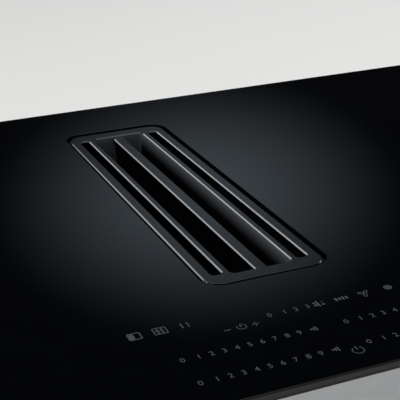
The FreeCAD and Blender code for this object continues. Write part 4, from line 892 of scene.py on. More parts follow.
def dress(palette: Palette, skip: Iterable[str]) -> None:
    """Gives every carried-over node the material of its slot.

    Args:
        palette: where the materials come from.
        skip: nodes that another piece stands for.
    """
    hidden = set(skip)
    for part in frame["record"]["subparts"]:
        if part["node"] not in hidden:
            for slot in frame["nodes"][part["node"]].material_slots:
                slot.material = palette.get(part["material_slot"])
            LOG.info("%s dressed in %s", part["node"], part["material_slot"])


class Recipe(Tree):
    """A Geometry Nodes tree with named sizes, grown over a starting mesh."""

    def __init__(self, name: str, material: bpy.types.Material, sizes: dict[str, float]) -> None:
        """Makes the tree and its inputs.

        Args:
            name: the tree's name.
            material: what the result is made of.
            sizes: its named inputs with their values.
        """
        group = bpy.data.node_groups.new(name, "GeometryNodeTree")
        super().__init__(group)
        self.material = material
        self.sizes = sizes
        face = group.interface
        face.new_socket("Start", in_out="INPUT", socket_type="NodeSocketGeometry")
        for label in sizes:
            face.new_socket(label, in_out="INPUT", socket_type="NodeSocketFloat")
        face.new_socket("Result", in_out="OUTPUT", socket_type="NodeSocketGeometry")
        self.start = self.add("NodeGroupInput")
        self.end = self.add("NodeGroupOutput")

    def given(self) -> Socket:
        """The starting geometry."""
        return self.start.outputs[0]

    def size(self, label: str) -> Signal:
        """One of the named sizes, for arithmetic."""
        return Signal(self, self.find(self.start.outputs, label))

    def upright(self, height: Signal) -> Socket:
        """A vector that points up by a changing height."""
        return self.out("ShaderNodeCombineXYZ", {"Z": height})

    def wire(self, line: Socket, sides: int) -> Socket:
        """Wire along a line, of the radius named Wire.

        Args:
            line: the line.
            sides: how many sides its section has.

        Returns:
            The wire's mesh.
        """
        values = {"Resolution": sides, "Radius": self.size("Wire")}
        section = self.out("GeometryNodeCurvePrimitiveCircle", values)
        values = {"Curve": line, "Profile Curve": section, "Fill Caps": True}
        return self.out("GeometryNodeCurveToMesh", values)

    def grow(self, name: str, start: bpy.types.Mesh, geometry: Socket) -> bpy.types.Mesh:
        """Ends the tree and runs it over a mesh.

        Args:
            name: the piece's name.
            start: the mesh that the tree starts from.
            geometry: what the tree has made.

        Returns:
            The result as a plain mesh that has its material.
        """
        whole = self.out("GeometryNodeRealizeInstances", {"Geometry": geometry})
        values = {"Geometry": whole, "Material": self.material}
        self.feed(self.end.inputs[0], self.out("GeometryNodeSetMaterial", values))
        seed = linked(name + "_seed", start)
        modifier = seed.modifiers.new("recipe", "NODES")
        modifier.node_group = self.tree
        for item in self.tree.interface.items_tree:
            if item.in_out == "INPUT" and item.name in self.sizes:
                modifier[item.identifier] = self.sizes[item.name]
        return plain_mesh(seed)


def points_mesh(
    name: str, points: Iterable[Sequence[float]], line: bool = False
) -> bpy.types.Mesh:
    """Mesh of loose points, or of one line through them.

    Args:
        name: the mesh's name.
        points: the points.
        line: whether a line runs through them.

    Returns:
        The mesh.
    """
    places = [tuple(p) for p in points]
    edges = [(i, i + 1) for i in range(len(places) - 1)] if line else []
    data = bpy.data.meshes.new(name)
    data.from_pydata(places, edges, [])
    return data


def clusters(node: str) -> list[tuple[Vector, Vector]]:
    """Finds the separate solids of a node.

    Args:
        node: the node.

    Returns:
        The lowest and the highest corner of every solid.
    """
    mesh = bmesh.new()
    mesh.from_mesh(frame["nodes"][node].data)
    bmesh.ops.remove_doubles(mesh, verts=mesh.verts, dist=JOIN)
    seen: set[int] = set()
    boxes = []
    for vert in mesh.verts:
        if vert.index in seen:
            continue
        stack, found = [vert], []
        seen.add(vert.index)
        while stack:
            here = stack.pop()
            found.append(here.co.copy())
            for edge in here.link_edges:
                other = edge.other_vert(here)
                if other.index not in seen:
                    seen.add(other.index)
                    stack.append(other)
        low = Vector([min(p[i] for p in found) for i in range(3)])
        high = Vector([max(p[i] for p in found) for i in range(3)])
        boxes.append((low, high))
    mesh.free()
    return boxes


class Facing(Enum):
    """The way that a screw's head faces."""

    DOWN = (math.pi, 0.0, 0.0)
    UP = (0.0, 0.0, 0.0)
    LEFT = (0.0, -math.pi / 2, 0.0)
    RIGHT = (0.0, math.pi / 2, 0.0)
    FRONT = (math.pi / 2, 0.0, 0.0)
    REAR = (-math.pi / 2, 0.0, 0.0)

    def way(self) -> Vector:
        """The head's own +Z after the turn."""
        turn = Matrix.Rotation(self.value[1], 3, "Y") @ Matrix.Rotation(self.value[0], 3, "X")
        return turn @ Vector((0, 0, 1))


@dataclass(frozen=True)
class Slice:
    """One tapered slice of a screw, in shares of the radius and height of the part it is in."""

    sides: int
    top: float
    bottom: float
    height: float
    level: float

    def solid(self, r: Recipe, radius: Signal, height: Signal) -> Socket:
        """Makes the slice, standing at its level.

        Args:
            r: the tree that it is made in.
            radius: the part's radius.
            height: the part's height.

        Returns:
            Its geometry.
        """
        values = {
            "Vertices": self.sides,
            "Radius Top": radius * self.top,
            "Radius Bottom": radius * self.bottom,
            "Depth": height * self.height,
        }
        cone = r.out("GeometryNodeMeshCone", values)
        values = {"Geometry": cone, "Translation": r.upright(height * self.level)}
        return r.out("GeometryNodeTransform", values)


@dataclass
class Screws:
    """Screws of one kind: bevelled hexagon head on a flange, with a threaded shank."""

    palette: Palette
    node: str
    body: str
    facing: tuple[Facing, ...]
    head_radius: float
    head_height: float
    shank_radius: float
    shank_length: float
    pitch: float = 0.7 * MM
    flange: Slice = Slice(32, 0.84, 1.0, 0.28, 0.0)
    hexagon: Slice = Slice(6, 0.78, 0.80, 0.60, 0.26)
    bevel: Slice = Slice(6, 0.66, 0.78, 0.14, 0.86)
    core: Slice = Slice(12, 0.84, 0.84, 1.0, -1.0)
    thread: Slice = Slice(12, 0.86, 1.0, 0.5, 0.0)
    turns: int = 4
    first_turn: float = -0.9
    turn_step: float = 0.22

    def grown(self, start: bpy.types.Mesh) -> bpy.types.Mesh:
        """Stands one screw on each point, with its head's seat at the point.

        Args:
            start: the points, each with its turn.

        Returns:
            All screws.
        """
        sizes = {
            "Head radius": self.head_radius,
            "Head height": self.head_height,
            "Shank radius": self.shank_radius,
            "Shank length": self.shank_length,
            "Pitch": self.pitch,
        }
        r = Recipe(self.node + "_recipe", self.palette.get("screw_steel"), sizes)
        radius, height, shank, length, pitch = (r.size(label) for label in sizes)
        parts = [part.solid(r, radius, height) for part in (self.flange, self.hexagon, self.bevel)]
        parts.append(self.core.solid(r, shank, length))
        values = {
            "Count": self.turns,
            "Start Location": r.upright(length * self.first_turn),
            "Offset": r.upright(length * self.turn_step),
        }
        line = r.out("GeometryNodeMeshLine", values, mode="OFFSET")
        values = {"Points": line, "Instance": self.thread.solid(r, shank, pitch)}
        parts.append(r.out("GeometryNodeInstanceOnPoints", values))
        whole = r.add("GeometryNodeJoinGeometry")
        for part in parts:
            r.feed(whole.inputs[0], part)
        turn = r.out("GeometryNodeInputNamedAttribute", {"Name": "turn"}, data_type="FLOAT_VECTOR")
        values = {
            "Points": r.out("GeometryNodeMeshToPoints", {"Mesh": r.given(), "Radius": MM}),
            "Instance": whole.outputs[0],
            "Rotation": r.out("FunctionNodeEulerToRotation", {"Euler": turn}),
        }
        placed = r.out("GeometryNodeInstanceOnPoints", values)
        return r.grow(self.node + "_fine", start, placed)

    def build(self) -> None:
        """Builds all screws of the kind as one piece."""
        seats, turns = [], []
        centre = Vector((0.0, VENT_Y, 0.0))
        for low, high in clusters(self.node):
            middle = (low + high) / 2
            ahead = (middle - centre).dot(self.facing[0].way()) > 0
            facing = self.facing[0 if ahead else -1]
            way = facing.way()
            reach = sum(abs(way[i]) * (high[i] - low[i]) / 2 for i in range(3))
            seats.append(middle + way * (reach - self.head_height))
            turns.append(facing.value)
        start = points_mesh(self.node + "_seats", seats)
        attribute = start.attributes.new("turn", "FLOAT_VECTOR", "POINT")
        for item, turn in zip(attribute.data, turns):
            item.vector = turn
        piece = finished(self.node + "_fine", self.grown(start), 25.0)
        settle(piece, self.body, "screw_steel", self.node)


@dataclass
class GreaseMesh:
    """Honeycomb of flattened wire in the middle of each grease filter panel."""

    palette: Palette
    cell: float = 3.4 * MM
    wire: float = 0.32 * MM
    edge: float = 2.5 * MM

    def grown(self, start: bpy.types.Mesh) -> bpy.types.Mesh:
        """Turns a flat sheet into a wire honeycomb.

        Args:
            start: the sheet.

        Returns:
            The honeycomb.
        """
        r = Recipe("honeycomb", self.palette.get("filter_mesh"), {"Wire": self.wire})
        triangles = r.out("GeometryNodeTriangulate", {"Mesh": r.given()})
        cells = r.out("GeometryNodeDualMesh", {"Mesh": triangles, "Keep Boundaries": True})
        line = r.out("GeometryNodeMeshToCurve", {"Mesh": cells})
        return r.grow("honeycomb", start, r.wire(line, 4))

    def sheet(self, side: int) -> bpy.types.Mesh:
        """The grid that one panel's honeycomb starts from, on the panel's middle plane.

        Args:
            side: -1 for the left panel, 1 for the right one.

        Returns:
            The grid.
        """
        low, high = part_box("grease_filters")
        foot_x, head_x = (side * self.middle(level) for level in (low.z, high.z))
        bottom, top = low.z + self.edge, high.z - self.edge
        front, rear = low.y + self.edge, high.y - self.edge
        columns = round((rear - front) / self.cell)
        rows = round((top - bottom) / self.cell)
        body = Body()
        grid = []
        for row in range(rows + 1):
            share = row / rows
            x = foot_x + (head_x - foot_x) * share
            z = bottom + (top - bottom) * share
            y = [front + (rear - front) * column / columns for column in range(columns + 1)]
            shift = (row % 2 - 0.5) * self.cell / 2
            y[1:-1] = [place + shift for place in y[1:-1]]
            grid.append(body.ring([(x, place, z) for place in y]))
        for lower, upper in zip(grid, grid[1:]):
            for i in range(columns):
                body.mesh.faces.new((lower[i], lower[i + 1], upper[i + 1], upper[i]))
        data = bpy.data.meshes.new("grease_sheet")
        body.mesh.to_mesh(data)
        body.mesh.free()
        return data

    @staticmethod
    def middle(level: float) -> float:
        """How far a panel's middle plane is from the vent's middle.

        Args:
            level: the height of the panel's foot or head.

        Returns:
            The distance.
        """
        points = (v.co for v in frame["nodes"]["grease_filters"].data.vertices)
        near = [abs(p.x) for p in points if abs(p.z - level) < MM]
        return (min(near) + max(near)) / 2

    def build(self) -> None:
        """Builds the honeycomb of both panels as one piece."""
        body = Body()
        for side in (-1, 1):
            body.mesh.from_mesh(self.grown(self.sheet(side)))
        piece = body.done("grease_honeycomb", self.palette.get("filter_mesh"), 60.0)
        settle(piece, "filter_cassette", "filter_mesh")


@dataclass
class CoilTurns:
    """The turns of one flat coil: stranded wire wound outwards in an eight-sided spiral."""

    palette: Palette
    node: str
    band: float = 70.0 * MM
    cut: float = 52.0 * MM
    turns: int = 14
    bend: float = 9.0 * MM
    fill: float = 0.96

    def grown(self, radius: float, start: bpy.types.Mesh) -> bpy.types.Mesh:
        """Rounds the spiral's corners and gives it its wire.

        Args:
            radius: the wire's radius.
            start: the spiral.

        Returns:
            The winding.
        """
        sizes = {"Wire": radius, "Bend": self.bend}
        r = Recipe(self.node + "_recipe", self.palette.get("litz_copper"), sizes)
        line = r.out("GeometryNodeMeshToCurve", {"Mesh": r.given()})
        values = {"Curve": line, "Radius": r.size("Bend"), "Limit Radius": True, "Count": 3}
        soft = r.out("GeometryNodeFilletCurve", values, mode="POLY")
        return r.grow(self.node + "_turns", start, r.wire(soft, 8))

    def build(self) -> None:
        """Builds the winding."""
        low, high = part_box(self.node)
        centre, half = (low + high) / 2, (high - low) / 2
        pitch = self.band / self.turns
        radius = min(pitch, high.z - low.z) / 2 * self.fill
        points = []
        for count in range(self.turns * 8):
            inset = pitch * count / 8 + radius
            if inset > self.band - radius:
                break
            hx, hy = half.x - inset, half.y - inset
            cut = self.cut - inset * (2 - math.sqrt(2))
            x, y = (
                (hx, -hy + cut), (hx, hy - cut), (hx - cut, hy), (-hx + cut, hy),
                (-hx, hy - cut), (-hx, -hy + cut), (-hx + cut, -hy), (hx - cut, -hy),
            )[count % 8]
            points.append((centre.x + x, centre.y + y, centre.z))
        start = points_mesh(self.node + "_line", points, True)
        piece = finished(self.node + "_turns", self.grown(radius, start), 50.0)
        settle(piece, "cooktop", "litz_copper", self.node)


# ---- glass and marks -------------------------------------------------------------------------
@dataclass
class GlassSheet:
    """The glass with its ground edges and the round-cornered vent cut-out."""

    palette: Palette
    corner: float = 6.0 * MM
    cutout_x: float = 46.4 * MM
    cutout_y: float = 161.1 * MM
    cutout_corner: float = 14.8 * MM
    chamfer: float = 0.8 * MM
    arris: float = 0.2 * MM
    edge: float = 0.35 * MM
    below_top: float = 0.04 * MM

    def outline(self, inset: float) -> Loop:
        """The outer outline, drawn in by a distance."""
        low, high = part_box("glass_plate")
        return rounded_loop(high.x - inset, high.y - inset, max(self.corner - inset, 1e-4), 10)

    def cutout(self, outset: float) -> Loop:
        """The edge of the cut-out, opened by a distance."""
        sizes = (size + outset for size in (self.cutout_x, self.cutout_y, self.cutout_corner))
        return [(x, y + VENT_Y) for x, y in rounded_loop(*sizes, 14)]

    def build(self) -> None:
        """Builds the sheet: a chamfer along its outline, a fine arris round the cut-out."""
        low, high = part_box("glass_plate")
        top, bottom = high.z - self.below_top, low.z
        body = Body()
        loops = []
        for outline, size in ((self.outline, self.chamfer), (self.cutout, self.arris)):
            profile = (
                (size + 0.10 * MM, top),
                (size * 0.80, top - 0.06 * MM),
                (0.08 * MM, top - size * 0.80 - 0.04 * MM),
                (0.0, top - size - 0.12 * MM),
                (0.0, bottom + self.edge),
                (self.edge, bottom),
            )
            loops.append([body.ring([(x, y, z) for x, y in outline(d)]) for d, z in profile])
        for rings in loops:
            body.walls(rings)
        for end in (0, -1):
            body.flat([rings[end] for rings in loops])
        piece = body.done("glass_sheet", self.palette.get("black_glass"), 12.0)
        settle(piece, "cooktop", "black_glass", "glass_plate")


STROKE = 0.55  # the width of a printed line, in millimetres
THIN = 0.6 * STROKE  # half the width of a bar that reads as a line
Rows = tuple[tuple[float, ...], ...]


@dataclass(frozen=True)
class Strokes:
    """What a sign is made of, in millimetres about its middle and in degrees."""

    bars: Rows = ()  # x, y, half width, half height
    arcs: Rows = ()  # radius, start, end
    frames: Rows = ()  # x, half width, half height, line width, corner radius
    discs: Rows = ()  # x, y, radius
    petals: tuple[float, ...] = ()  # the way that each one points


def row_of_bars(half_x: float, *places: Sequence[float]) -> Rows:
    """Upright bars of one width side by side, from the x and the half height of each."""
    return tuple((x, 0.0, half_x, half_y) for x, half_y in places)


class Sign(Enum):
    """Printed signs that are not digits."""

    MINUS = Strokes(bars=((0.0, 0.0, 2.3, THIN),))
    PLUS = Strokes(bars=((0.0, 0.0, 2.3, THIN), (0.0, 0.0, THIN, 2.3)))
    CLOCK = Strokes(arcs=((2.9, -215, 95),), bars=((-0.3, 1.2, THIN, 1.5),))
    PAUSE = Strokes(bars=row_of_bars(0.7 * STROKE, (-2.0, 3.0), (2.0, 3.0)))
    HALF_FULL_SQUARE = Strokes(
        frames=((0.0, 4.2, 4.032, 0.8, 1.1),), bars=((-1.75, 0.0, 1.45, 3.024),)
    )
    THREE_CELLS = Strokes(
        frames=tuple((x, 1.5, 4.032, 0.62, 0.8) for x in (-2.85, 0.0, 2.85)),
        bars=row_of_bars(1.0, (-2.85, 0.35), (0.0, 0.35)),
    )
    RING_WITH_BARS = Strokes(
        arcs=((2.55, 0, 180), (2.55, 180, 360)),
        bars=row_of_bars(0.48, (-1.35, 1.6), (0.0, 2.1), (1.35, 1.6)),
    )
    RISING_BARS = Strokes(bars=row_of_bars(0.5, (-1.7, 0.9), (0.0, 1.6), (1.7, 2.3)))
    THREE_LOOPS = Strokes(petals=(45, 152, 257))
    FOUR_BARS = Strokes(
        bars=row_of_bars(0.75, (-3.75, 1.9), (-1.25, 1.4), (1.25, 1.9), (3.75, 1.6))
    )
    POST_WITH_PRONGS = Strokes(
        bars=(
            (-0.4, 0.0, 0.55, 3.5),
            (-2.2, 1.7, 1.4, 0.6),
            (-2.4, -1.2, 1.4, 1.0),
            (2.5, -1.6, 1.0, 0.9),
        ),
        discs=((2.9, 1.6, 0.55),),
    )
    POWER = Strokes(arcs=((3.5, 125, 415),), bars=((0.0, 2.6, THIN, 2.0),))


@dataclass
class TouchMarks:
    """The printed signs and digits of the touch controls, fired into the glass.

    Places are given in lengths of the vent from the vent's middle.
    """

    palette: Palette
    unit: float = 316.0 * MM
    digit: float = 4.6 * MM
    digit_share: float = 0.72
    thick: float = 0.02 * MM
    sunk: float = 0.01 * MM
    petal_half: tuple[float, float] = (1.95, 1.10)
    petal_out: float = 2.25
    hood_row: float = -0.6594
    hood_digits: tuple[float, ...] = (-0.0838, -0.0513, -0.0268, -0.0010)
    rows: tuple[float, ...] = (-0.7424, -0.8240)
    sliders: Rows = (
        (-0.299, -0.267, -0.2416, -0.2162, -0.1908, -0.1653, -0.1399, -0.1144, -0.0889, -0.0635),
        (0.0368, 0.0686, 0.0941, 0.1191, 0.1447, 0.1700, 0.1955, 0.2210, 0.2465, 0.2720),
    )
    signs: tuple[tuple[Sign, float, float], ...] = (
        (Sign.HALF_FULL_SQUARE, -0.3477, -0.6279),
        (Sign.THREE_CELLS, -0.2969, -0.6278),
        (Sign.PAUSE, -0.2466, -0.6274),
        (Sign.MINUS, -0.1816, -0.6787),
        (Sign.CLOCK, -0.1514, -0.6778),
        (Sign.PLUS, -0.1230, -0.6788),
        (Sign.POST_WITH_PRONGS, 0.0240, -0.6594),
        (Sign.FOUR_BARS, 0.0750, -0.6590),
        (Sign.THREE_LOOPS, 0.1274, -0.6598),
        (Sign.RING_WITH_BARS, 0.1834, -0.6570),
        (Sign.RISING_BARS, -0.0331, -0.7424),
        (Sign.RISING_BARS, 0.3030, -0.7424),
        (Sign.RISING_BARS, -0.0331, -0.8240),
        (Sign.RISING_BARS, 0.3030, -0.8240),
        (Sign.POWER, 0.0030, -0.8430),
    )
    shapes: list[Loop] = field(default_factory=list)

    def add(self, x: float, y: float, loop: Iterable[Sequence[float]]) -> None:
        """Adds a shape about a point in metres, from its outline in millimetres."""
        self.shapes.append([(x + u * MM, y + v * MM) for u, v in loop])

    def band(self, x: float, y: float, radius: float, start: float, end: float) -> None:
        """Adds an arc-shaped stroke.

        Args:
            x: the middle of its circle, in metres.
            y: the middle of its circle, in metres.
            radius: the circle's radius, in millimetres.
            start: where the arc starts, in degrees.
            end: where it ends, in degrees.
        """
        steps = max(6, round(abs(end - start) / 15))
        angles = [math.radians(start + (end - start) * i / steps) for i in range(steps + 1)]
        outer, inner = (
            [(size * math.cos(angle), size * math.sin(angle)) for angle in angles]
            for size in (radius + STROKE / 2, radius - STROKE / 2)
        )
        self.add(x, y, outer + inner[::-1])

    def petal(self, x: float, y: float, angle: float) -> None:
        """Adds a long loop that points away from a point, as two halves that meet.

        Args:
            x: the point, in metres.
            y: the point, in metres.
            angle: the way that the loop points, in degrees.
        """
        turn = math.radians(angle)
        cosine, sine = math.cos(turn), math.sin(turn)
        for start in (0, 180):
            edges = []
            for grow in (STROKE / 2, -STROKE / 2):
                long, wide = (half + grow for half in self.petal_half)
                here = [math.radians(start + step * 15) for step in range(13)]
                edges.append([(long * math.cos(a) + self.petal_out, wide * math.sin(a)) for a in here])
            loop = edges[0] + edges[1][::-1]
            self.add(x, y, [(u * cosine - v * sine, u * sine + v * cosine) for u, v in loop])

    def frame(self, x: float, y: float, *sizes: float) -> None:
        """Adds a small round-cornered frame as a left and a right half that meet.

        Args:
            x: its middle, in metres.
            y: its middle, in metres.
            sizes: half width, half height, line width and corner radius, in millimetres.
        """
        half_x, half_y, width, corner = sizes
        outer = rounded_loop(half_x, half_y, corner, 4)
        scale_x, scale_y = (half_x - width) / half_x, (half_y - width) / half_y
        for sign in (1, -1):
            side = sorted(
                {(round(u, 6), round(v, 6)) for u, v in outer if u * sign > 0},
                key=lambda p: math.atan2(p[1], p[0] * sign),
            )
            side = [(0.0, -half_y)] + side + [(0.0, half_y)]
            self.add(x, y, side + [(u * scale_x, v * scale_y) for u, v in reversed(side)])

    def sign(self, kind: Sign, x: float, y: float) -> None:
        """Adds one sign.

        Args:
            kind: which sign.
            x: its middle, in metres.
            y: its middle, in metres.
        """
        made = kind.value
        for arc in made.arcs:
            self.band(x, y, *arc)
        for offset, *sizes in made.frames:
            self.frame(x + offset * MM, y, *sizes)
        for u, v, half_x, half_y in made.bars:
            corner = min(half_x, half_y) * 0.6
            self.add(x + u * MM, y + v * MM, rounded_loop(half_x, half_y, corner, 3))
        for u, v, radius in made.discs:
            self.add(x + u * MM, y + v * MM, rounded_loop(radius, radius, radius, 6))
        for angle in made.petals:
            self.petal(x, y, angle)

    def number(self, text: str, x: float, y: float, z: float) -> bpy.types.Mesh:
        """Makes the mesh of a printed digit.

        Args:
            text: the digit.
            x: its middle, in metres.
            y: its middle, in metres.
            z: the level of the underside of the ink.

        Returns:
            The mesh, in its place.
        """
        curve = bpy.data.curves.new("digit", "FONT")
        curve.body = text
        curve.size = self.digit / self.digit_share
        curve.extrude = self.thick / 2
        curve.align_x = "CENTER"
        curve.resolution_u = 4
        data = plain_mesh(linked("digit", curve))
        data.transform(Matrix.Translation((x, y - self.digit / 2, z + self.thick / 2)))
        bpy.data.curves.remove(curve)
        return data

    def build(self) -> None:
        """Builds all marks as one piece."""
        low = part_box("glass_plate")[1].z - self.sunk - self.thick
        for kind, x, y in self.signs:
            self.sign(kind, x * self.unit, y * self.unit + VENT_Y)
        body = Body()
        for shape in self.shapes:
            body.prism([(x, y, low) for x, y in shape], Vector((0, 0, self.thick)))
        lines = [(self.hood_digits, self.hood_row)]
        lines += [(slider, row) for row in self.rows for slider in self.sliders]
        for places, y in lines:
            for count, x in enumerate(places):
                data = self.number(str(count), x * self.unit, y * self.unit + VENT_Y, low)
                body.mesh.from_mesh(data)
                bpy.data.meshes.remove(data)
        piece = body.done("touch_marks", self.palette.get("ink"), 30.0, True)
        settle(piece, "cooktop", "black_glass")


# ---- vent grille -----------------------------------------------------------------------------
@dataclass
class VentGrille:
    """The flush cover plate with its slots and throat, and the deep blade in the throat."""

    palette: Palette
    corner: float = 12.0 * MM
    plate: float = 3.0 * MM
    chamfer: float = 0.95 * MM
    chamfer_flat: float = 0.90
    crisp: float = 0.03 * MM
    outer_ease: float = 0.3 * MM
    slot_ease: float = 0.2 * MM
    slot_middle: float = 31.85 * MM
    slot: Point = (3.85 * MM, 143.5 * MM, 2.2 * MM)
    throat: Point = (22.7 * MM, 146.0 * MM, 3.6 * MM)
    throat_steps: int = 6
    wall: float = 2.0 * MM
    lip: float = 0.5 * MM
    draft: float = 0.8 * MM
    blade_half: float = 4.7 * MM
    blade_foot: float = 1.8 * MM
    flank: Rows = ((-0.4, 0.0), (0.0, 0.4), (0.35, 9.0), (0.9, 17.0))
    shoulder: Rows = ((-1.2, 4.4), (0.0, 2.4))

    def tube(self, body: Body, size: Point, profile: Sequence[Span], x: float = 0.0) -> list[list]:
        """Adds a wall round the vent's middle, ring by ring.

        Args:
            body: the mesh.
            size: half width, half depth and corner radius, in metres.
            profile: the rings, as (distance outwards, height).
            x: how far to the right of the vent's middle the wall stands.

        Returns:
            The rings.
        """
        half_x, half_y, radius = size
        rings = []
        for grow, z in profile:
            loop = rounded_loop(half_x + grow, half_y + grow, max(radius + grow, 0.2 * MM))
            rings.append(body.ring([(u + x, v + VENT_Y, z) for u, v in loop]))
        body.walls(rings)
        return rings

    def edge(self, top: float) -> Loop:
        """The crisp bevel along a top edge at a height, as (distance from the wall, height)."""
        size, flat = self.chamfer, self.chamfer * self.chamfer_flat
        return [(size, top), (flat, top - self.crisp), (self.crisp, top - flat), (0.0, top - size)]

    def plate_piece(self) -> None:
        """Builds the plate with its slots and the walls of the throat."""
        low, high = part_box("grille_frame")
        top, foot = high.z, low.z
        under = top - self.plate
        body = Body()
        profile = self.edge(top) + [(0.0, under + self.outer_ease), (self.outer_ease, under)]
        size = (high.x, (high.y - low.y) / 2, self.corner)
        loops = [self.tube(body, size, [(-d, z) for d, z in profile])]
        profile = self.edge(top) + [(0.0, under + self.slot_ease), (self.slot_ease, under)]
        for side in (-1, 1):
            loops.append(self.tube(body, self.slot, profile, side * self.slot_middle))
        profile = self.edge(top)
        start, end = top - self.chamfer, foot + self.lip
        for step in range(1, self.throat_steps + 1):
            share = step / self.throat_steps
            profile.append((-self.draft * share, start + (end - start) * share))
        profile += [
            (self.lip - self.draft, foot),
            (self.wall - self.lip - self.draft, foot),
            (self.wall - self.draft, end),
            (self.wall, under),
        ]
        loops.append(self.tube(body, self.throat, profile))
        for index in (0, -1):
            body.flat([rings[index] for rings in loops])
        piece = body.done("vent_cover", self.palette.get("grille_coat"), 25.0)
        settle(piece, "vent_grille", "grille_coat", "grille_frame")

    def blade_piece(self) -> None:
        """Builds the blade: a bevelled cap over flanks that draw in to the foot."""
        low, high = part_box("grille_blade")
        top, foot, half = high.z, low.z, self.blade_half
        right = [(self.blade_foot + out * MM, foot + up * MM) for out, up in self.flank]
        right += [(half + out * MM, top - down * MM) for out, down in self.shoulder]
        right += [(half - d, z) for d, z in reversed(self.edge(top))]
        section = right + [(-x, z) for x, z in reversed(right)]
        body = Body()
        body.prism([(x, low.y, z) for x, z in section], Vector((0, high.y - low.y, 0)))
        piece = body.done("vent_blade", self.palette.get("blade_coat"), 25.0)
        # the flanks below the cap take the painted-shade finish
        piece.data.materials.append(self.palette.get("blade_flank"))
        for face in piece.data.polygons:
            if abs(face.normal.x) > 0.8 and face.center.z < top - self.chamfer:
                face.material_index = 1
        settle(piece, "vent_grille", "blade_coat", "grille_blade")

    def build(self) -> None:
        """Builds both pieces."""
        self.plate_piece()
        self.blade_piece()


# ---- studio ----------------------------------------------------------------------------------
@dataclass
class Glow:
    """A soft oval patch of light in the studio's sky.

    Its bearing is turned from +Y towards +X, its height is above the horizon, and both are in
    degrees, as are its half width and half height.
    """

    bearing: float
    height: float
    wide: float
    tall: float
    strength: float
    tint: Colour = (1.0, 1.0, 1.0)

    def light(self, shade: Shade, way: Socket) -> Signal:
        """The light that comes from a way in the sky.

        Args:
            shade: the sky's tree.
            way: the way.

        Returns:
            The patch's strength there.
        """
        turn, rise = math.radians(self.bearing), math.radians(self.height)
        ahead = (math.sin(turn) * math.cos(rise), math.cos(turn) * math.cos(rise), math.sin(rise))
        across = (math.cos(turn), -math.sin(turn), 0.0)
        up = (-math.sin(turn) * math.sin(rise), -math.cos(turn) * math.sin(rise), math.cos(rise))
        side = shade.dot(way, across) / math.sin(math.radians(self.wide))
        above = shade.dot(way, up) / math.sin(math.radians(self.tall))
        distance = (side * side + above * above) ** 0.5
        facing = shade.dot(way, ahead).step(0.0, 0.2)
        return distance.step(0.0, 1.0, self.strength, 0.0) * facing


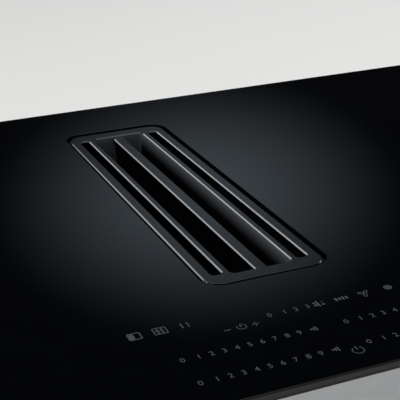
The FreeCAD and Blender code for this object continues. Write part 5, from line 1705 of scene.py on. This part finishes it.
@dataclass
class Studio:
    """Pale floor, soft sky, two large softboxes overhead and the camera."""

    palette: Palette
    floor_half: float = 30.0
    floor_corner: float = 1.0
    floor_foot: float = -20.0 * MM
    floor_thick: float = 19.9 * MM
    zenith: float = 1.2
    bright_from: Span = (44.0, 70.0)
    low_sky: float = 0.006
    glows: tuple[Glow, ...] = (
        Glow(22.9, 23.2, 11.8, 7.5, 0.36, (0.84, 1.0, 1.13)),
        Glow(-24.5, 21.1, 20.0, 17.0, 0.62),
        Glow(69.0, 20.0, 22.0, 15.0, 0.5),
    )
    lamps: tuple[tuple[str, Point], ...] = (
        ("softbox_left", (-2.0, -0.6, 3.0)),
        ("softbox_right", (2.0, 0.9, 3.0)),
    )
    lamp_target: Point = (0.0, 0.0, 0.2)
    lamp_size: float = 2.4
    lamp_power: float = 54.0
    lens: float = 95.9
    clip: Span = (0.01, 200.0)
    camera_place: Point = (-0.2864, -0.6886, 0.5290)
    camera_right: Point = (0.91795, -0.39641, -0.01506)
    camera_ahead: Point = (0.36024, 0.84887, -0.38684)

    def floor(self) -> None:
        """Builds the floor."""
        body = Body()
        loop = rounded_loop(self.floor_half, self.floor_half, self.floor_corner)
        body.prism([(x, y, self.floor_foot) for x, y in loop], Vector((0, 0, self.floor_thick)))
        piece = body.done("studio_floor", self.palette.get("floor"))

    def sky(self) -> None:
        """Paints the sky: dark and even near the horizon, bright overhead, with soft patches."""
        world = bpy.data.worlds.new("studio_sky")
        bpy.context.scene.world = world
        world.use_nodes = True
        s = Shade(world.node_tree)
        way = s.find(s.coordinates.outputs, "Generated")
        low, high = (math.sin(math.radians(angle)) for angle in self.bright_from)
        light = s.dot(way, (0.0, 0.0, 1.0)).step(low, high, self.low_sky, self.zenith)
        lit = s.out("ShaderNodeBackground", {"Color": (1.0, 1.0, 1.0), "Strength": light})
        for glow in self.glows:
            values = {"Color": glow.tint, "Strength": glow.light(s, way)}
            lit = s.out("ShaderNodeAddShader", {0: lit, 1: s.out("ShaderNodeBackground", values)})
        s.add("ShaderNodeOutputWorld", {"Surface": lit})

    def lamp(self, name: str, place: Point) -> None:
        """Hangs one square softbox, which reflections don't show.

        Args:
            name: the lamp's name.
            place: where it hangs.
        """
        light = bpy.data.lights.new(name, "AREA")
        light.shape = "SQUARE"
        light.size = self.lamp_size
        light.energy = self.lamp_power
        holder = linked(name, light)
        holder.location = place
        aim = Vector(self.lamp_target) - Vector(place)
        holder.rotation_mode = "QUATERNION"
        holder.rotation_quaternion = aim.to_track_quat("-Z", "Y")
        holder.visible_glossy = False

    def camera(self) -> None:
        """Sets the camera at the photograph's viewing angle."""
        data = bpy.data.cameras.new("view")
        data.lens = self.lens
        data.sensor_width = 36.0
        data.clip_start, data.clip_end = self.clip
        holder = linked("view", data)
        back = -Vector(self.camera_ahead).normalized()
        up = back.cross(Vector(self.camera_right)).normalized()
        turn = Matrix((up.cross(back).normalized(), up, back)).transposed().to_4x4()
        holder.matrix_world = Matrix.Translation(self.camera_place) @ turn
        bpy.context.scene.camera = holder

    def build(self) -> None:
        """Builds the studio."""
        self.camera()
        self.floor()
        self.sky()
        for name, place in self.lamps:
            self.lamp(name, place)
        bpy.context.scene.view_settings.view_transform = "Standard"


def screw_kinds(palette: Palette) -> list[Screws]:
    """The four kinds of screws.

    Args:
        palette: where their material comes from.

    Returns:
        The kinds.
    """
    sides, ends = (Facing.RIGHT, Facing.LEFT), (Facing.REAR, Facing.FRONT)
    rows = (
        ("housing_screws", "cooktop", (Facing.DOWN,), 3.4, 2.4, 1.8, 5.5),
        ("deck_screws", "cooktop", (Facing.UP,), 3.6, 2.4, 2.0, 3.0),
        ("spring_screws", "cooktop", sides, 4.0, 1.2, 1.9, 1.0),
        ("grille_screws", "vent_grille", ends, 2.8, 1.4, 1.4, 10.0),
    )
    return [
        Screws(palette, node, body, facing, *(size * MM for size in sizes))
        for node, body, facing, *sizes in rows
    ]


def main() -> None:
    """Builds the studio and every sub-assembly in order."""
    logging.basicConfig(level=logging.INFO, format="%(name)s: %(message)s")
    palette = Palette()
    screws = screw_kinds(palette)
    coils = [f"coil_winding_{row}_{side}" for row in ("rear", "front") for side in ("left", "right")]
    first = (Studio(palette), GlassSheet(palette), VentGrille(palette), TouchMarks(palette))
    windings = (CoilTurns(palette, coil) for coil in coils)
    for assembly in (*first, *screws, GreaseMesh(palette), *windings):
        assembly.build()
    fine = ["glass_plate", "grille_frame", "grille_blade", *coils, *(kind.node for kind in screws)]
    dress(palette, fine)


if __name__ == "__main__":
    main()
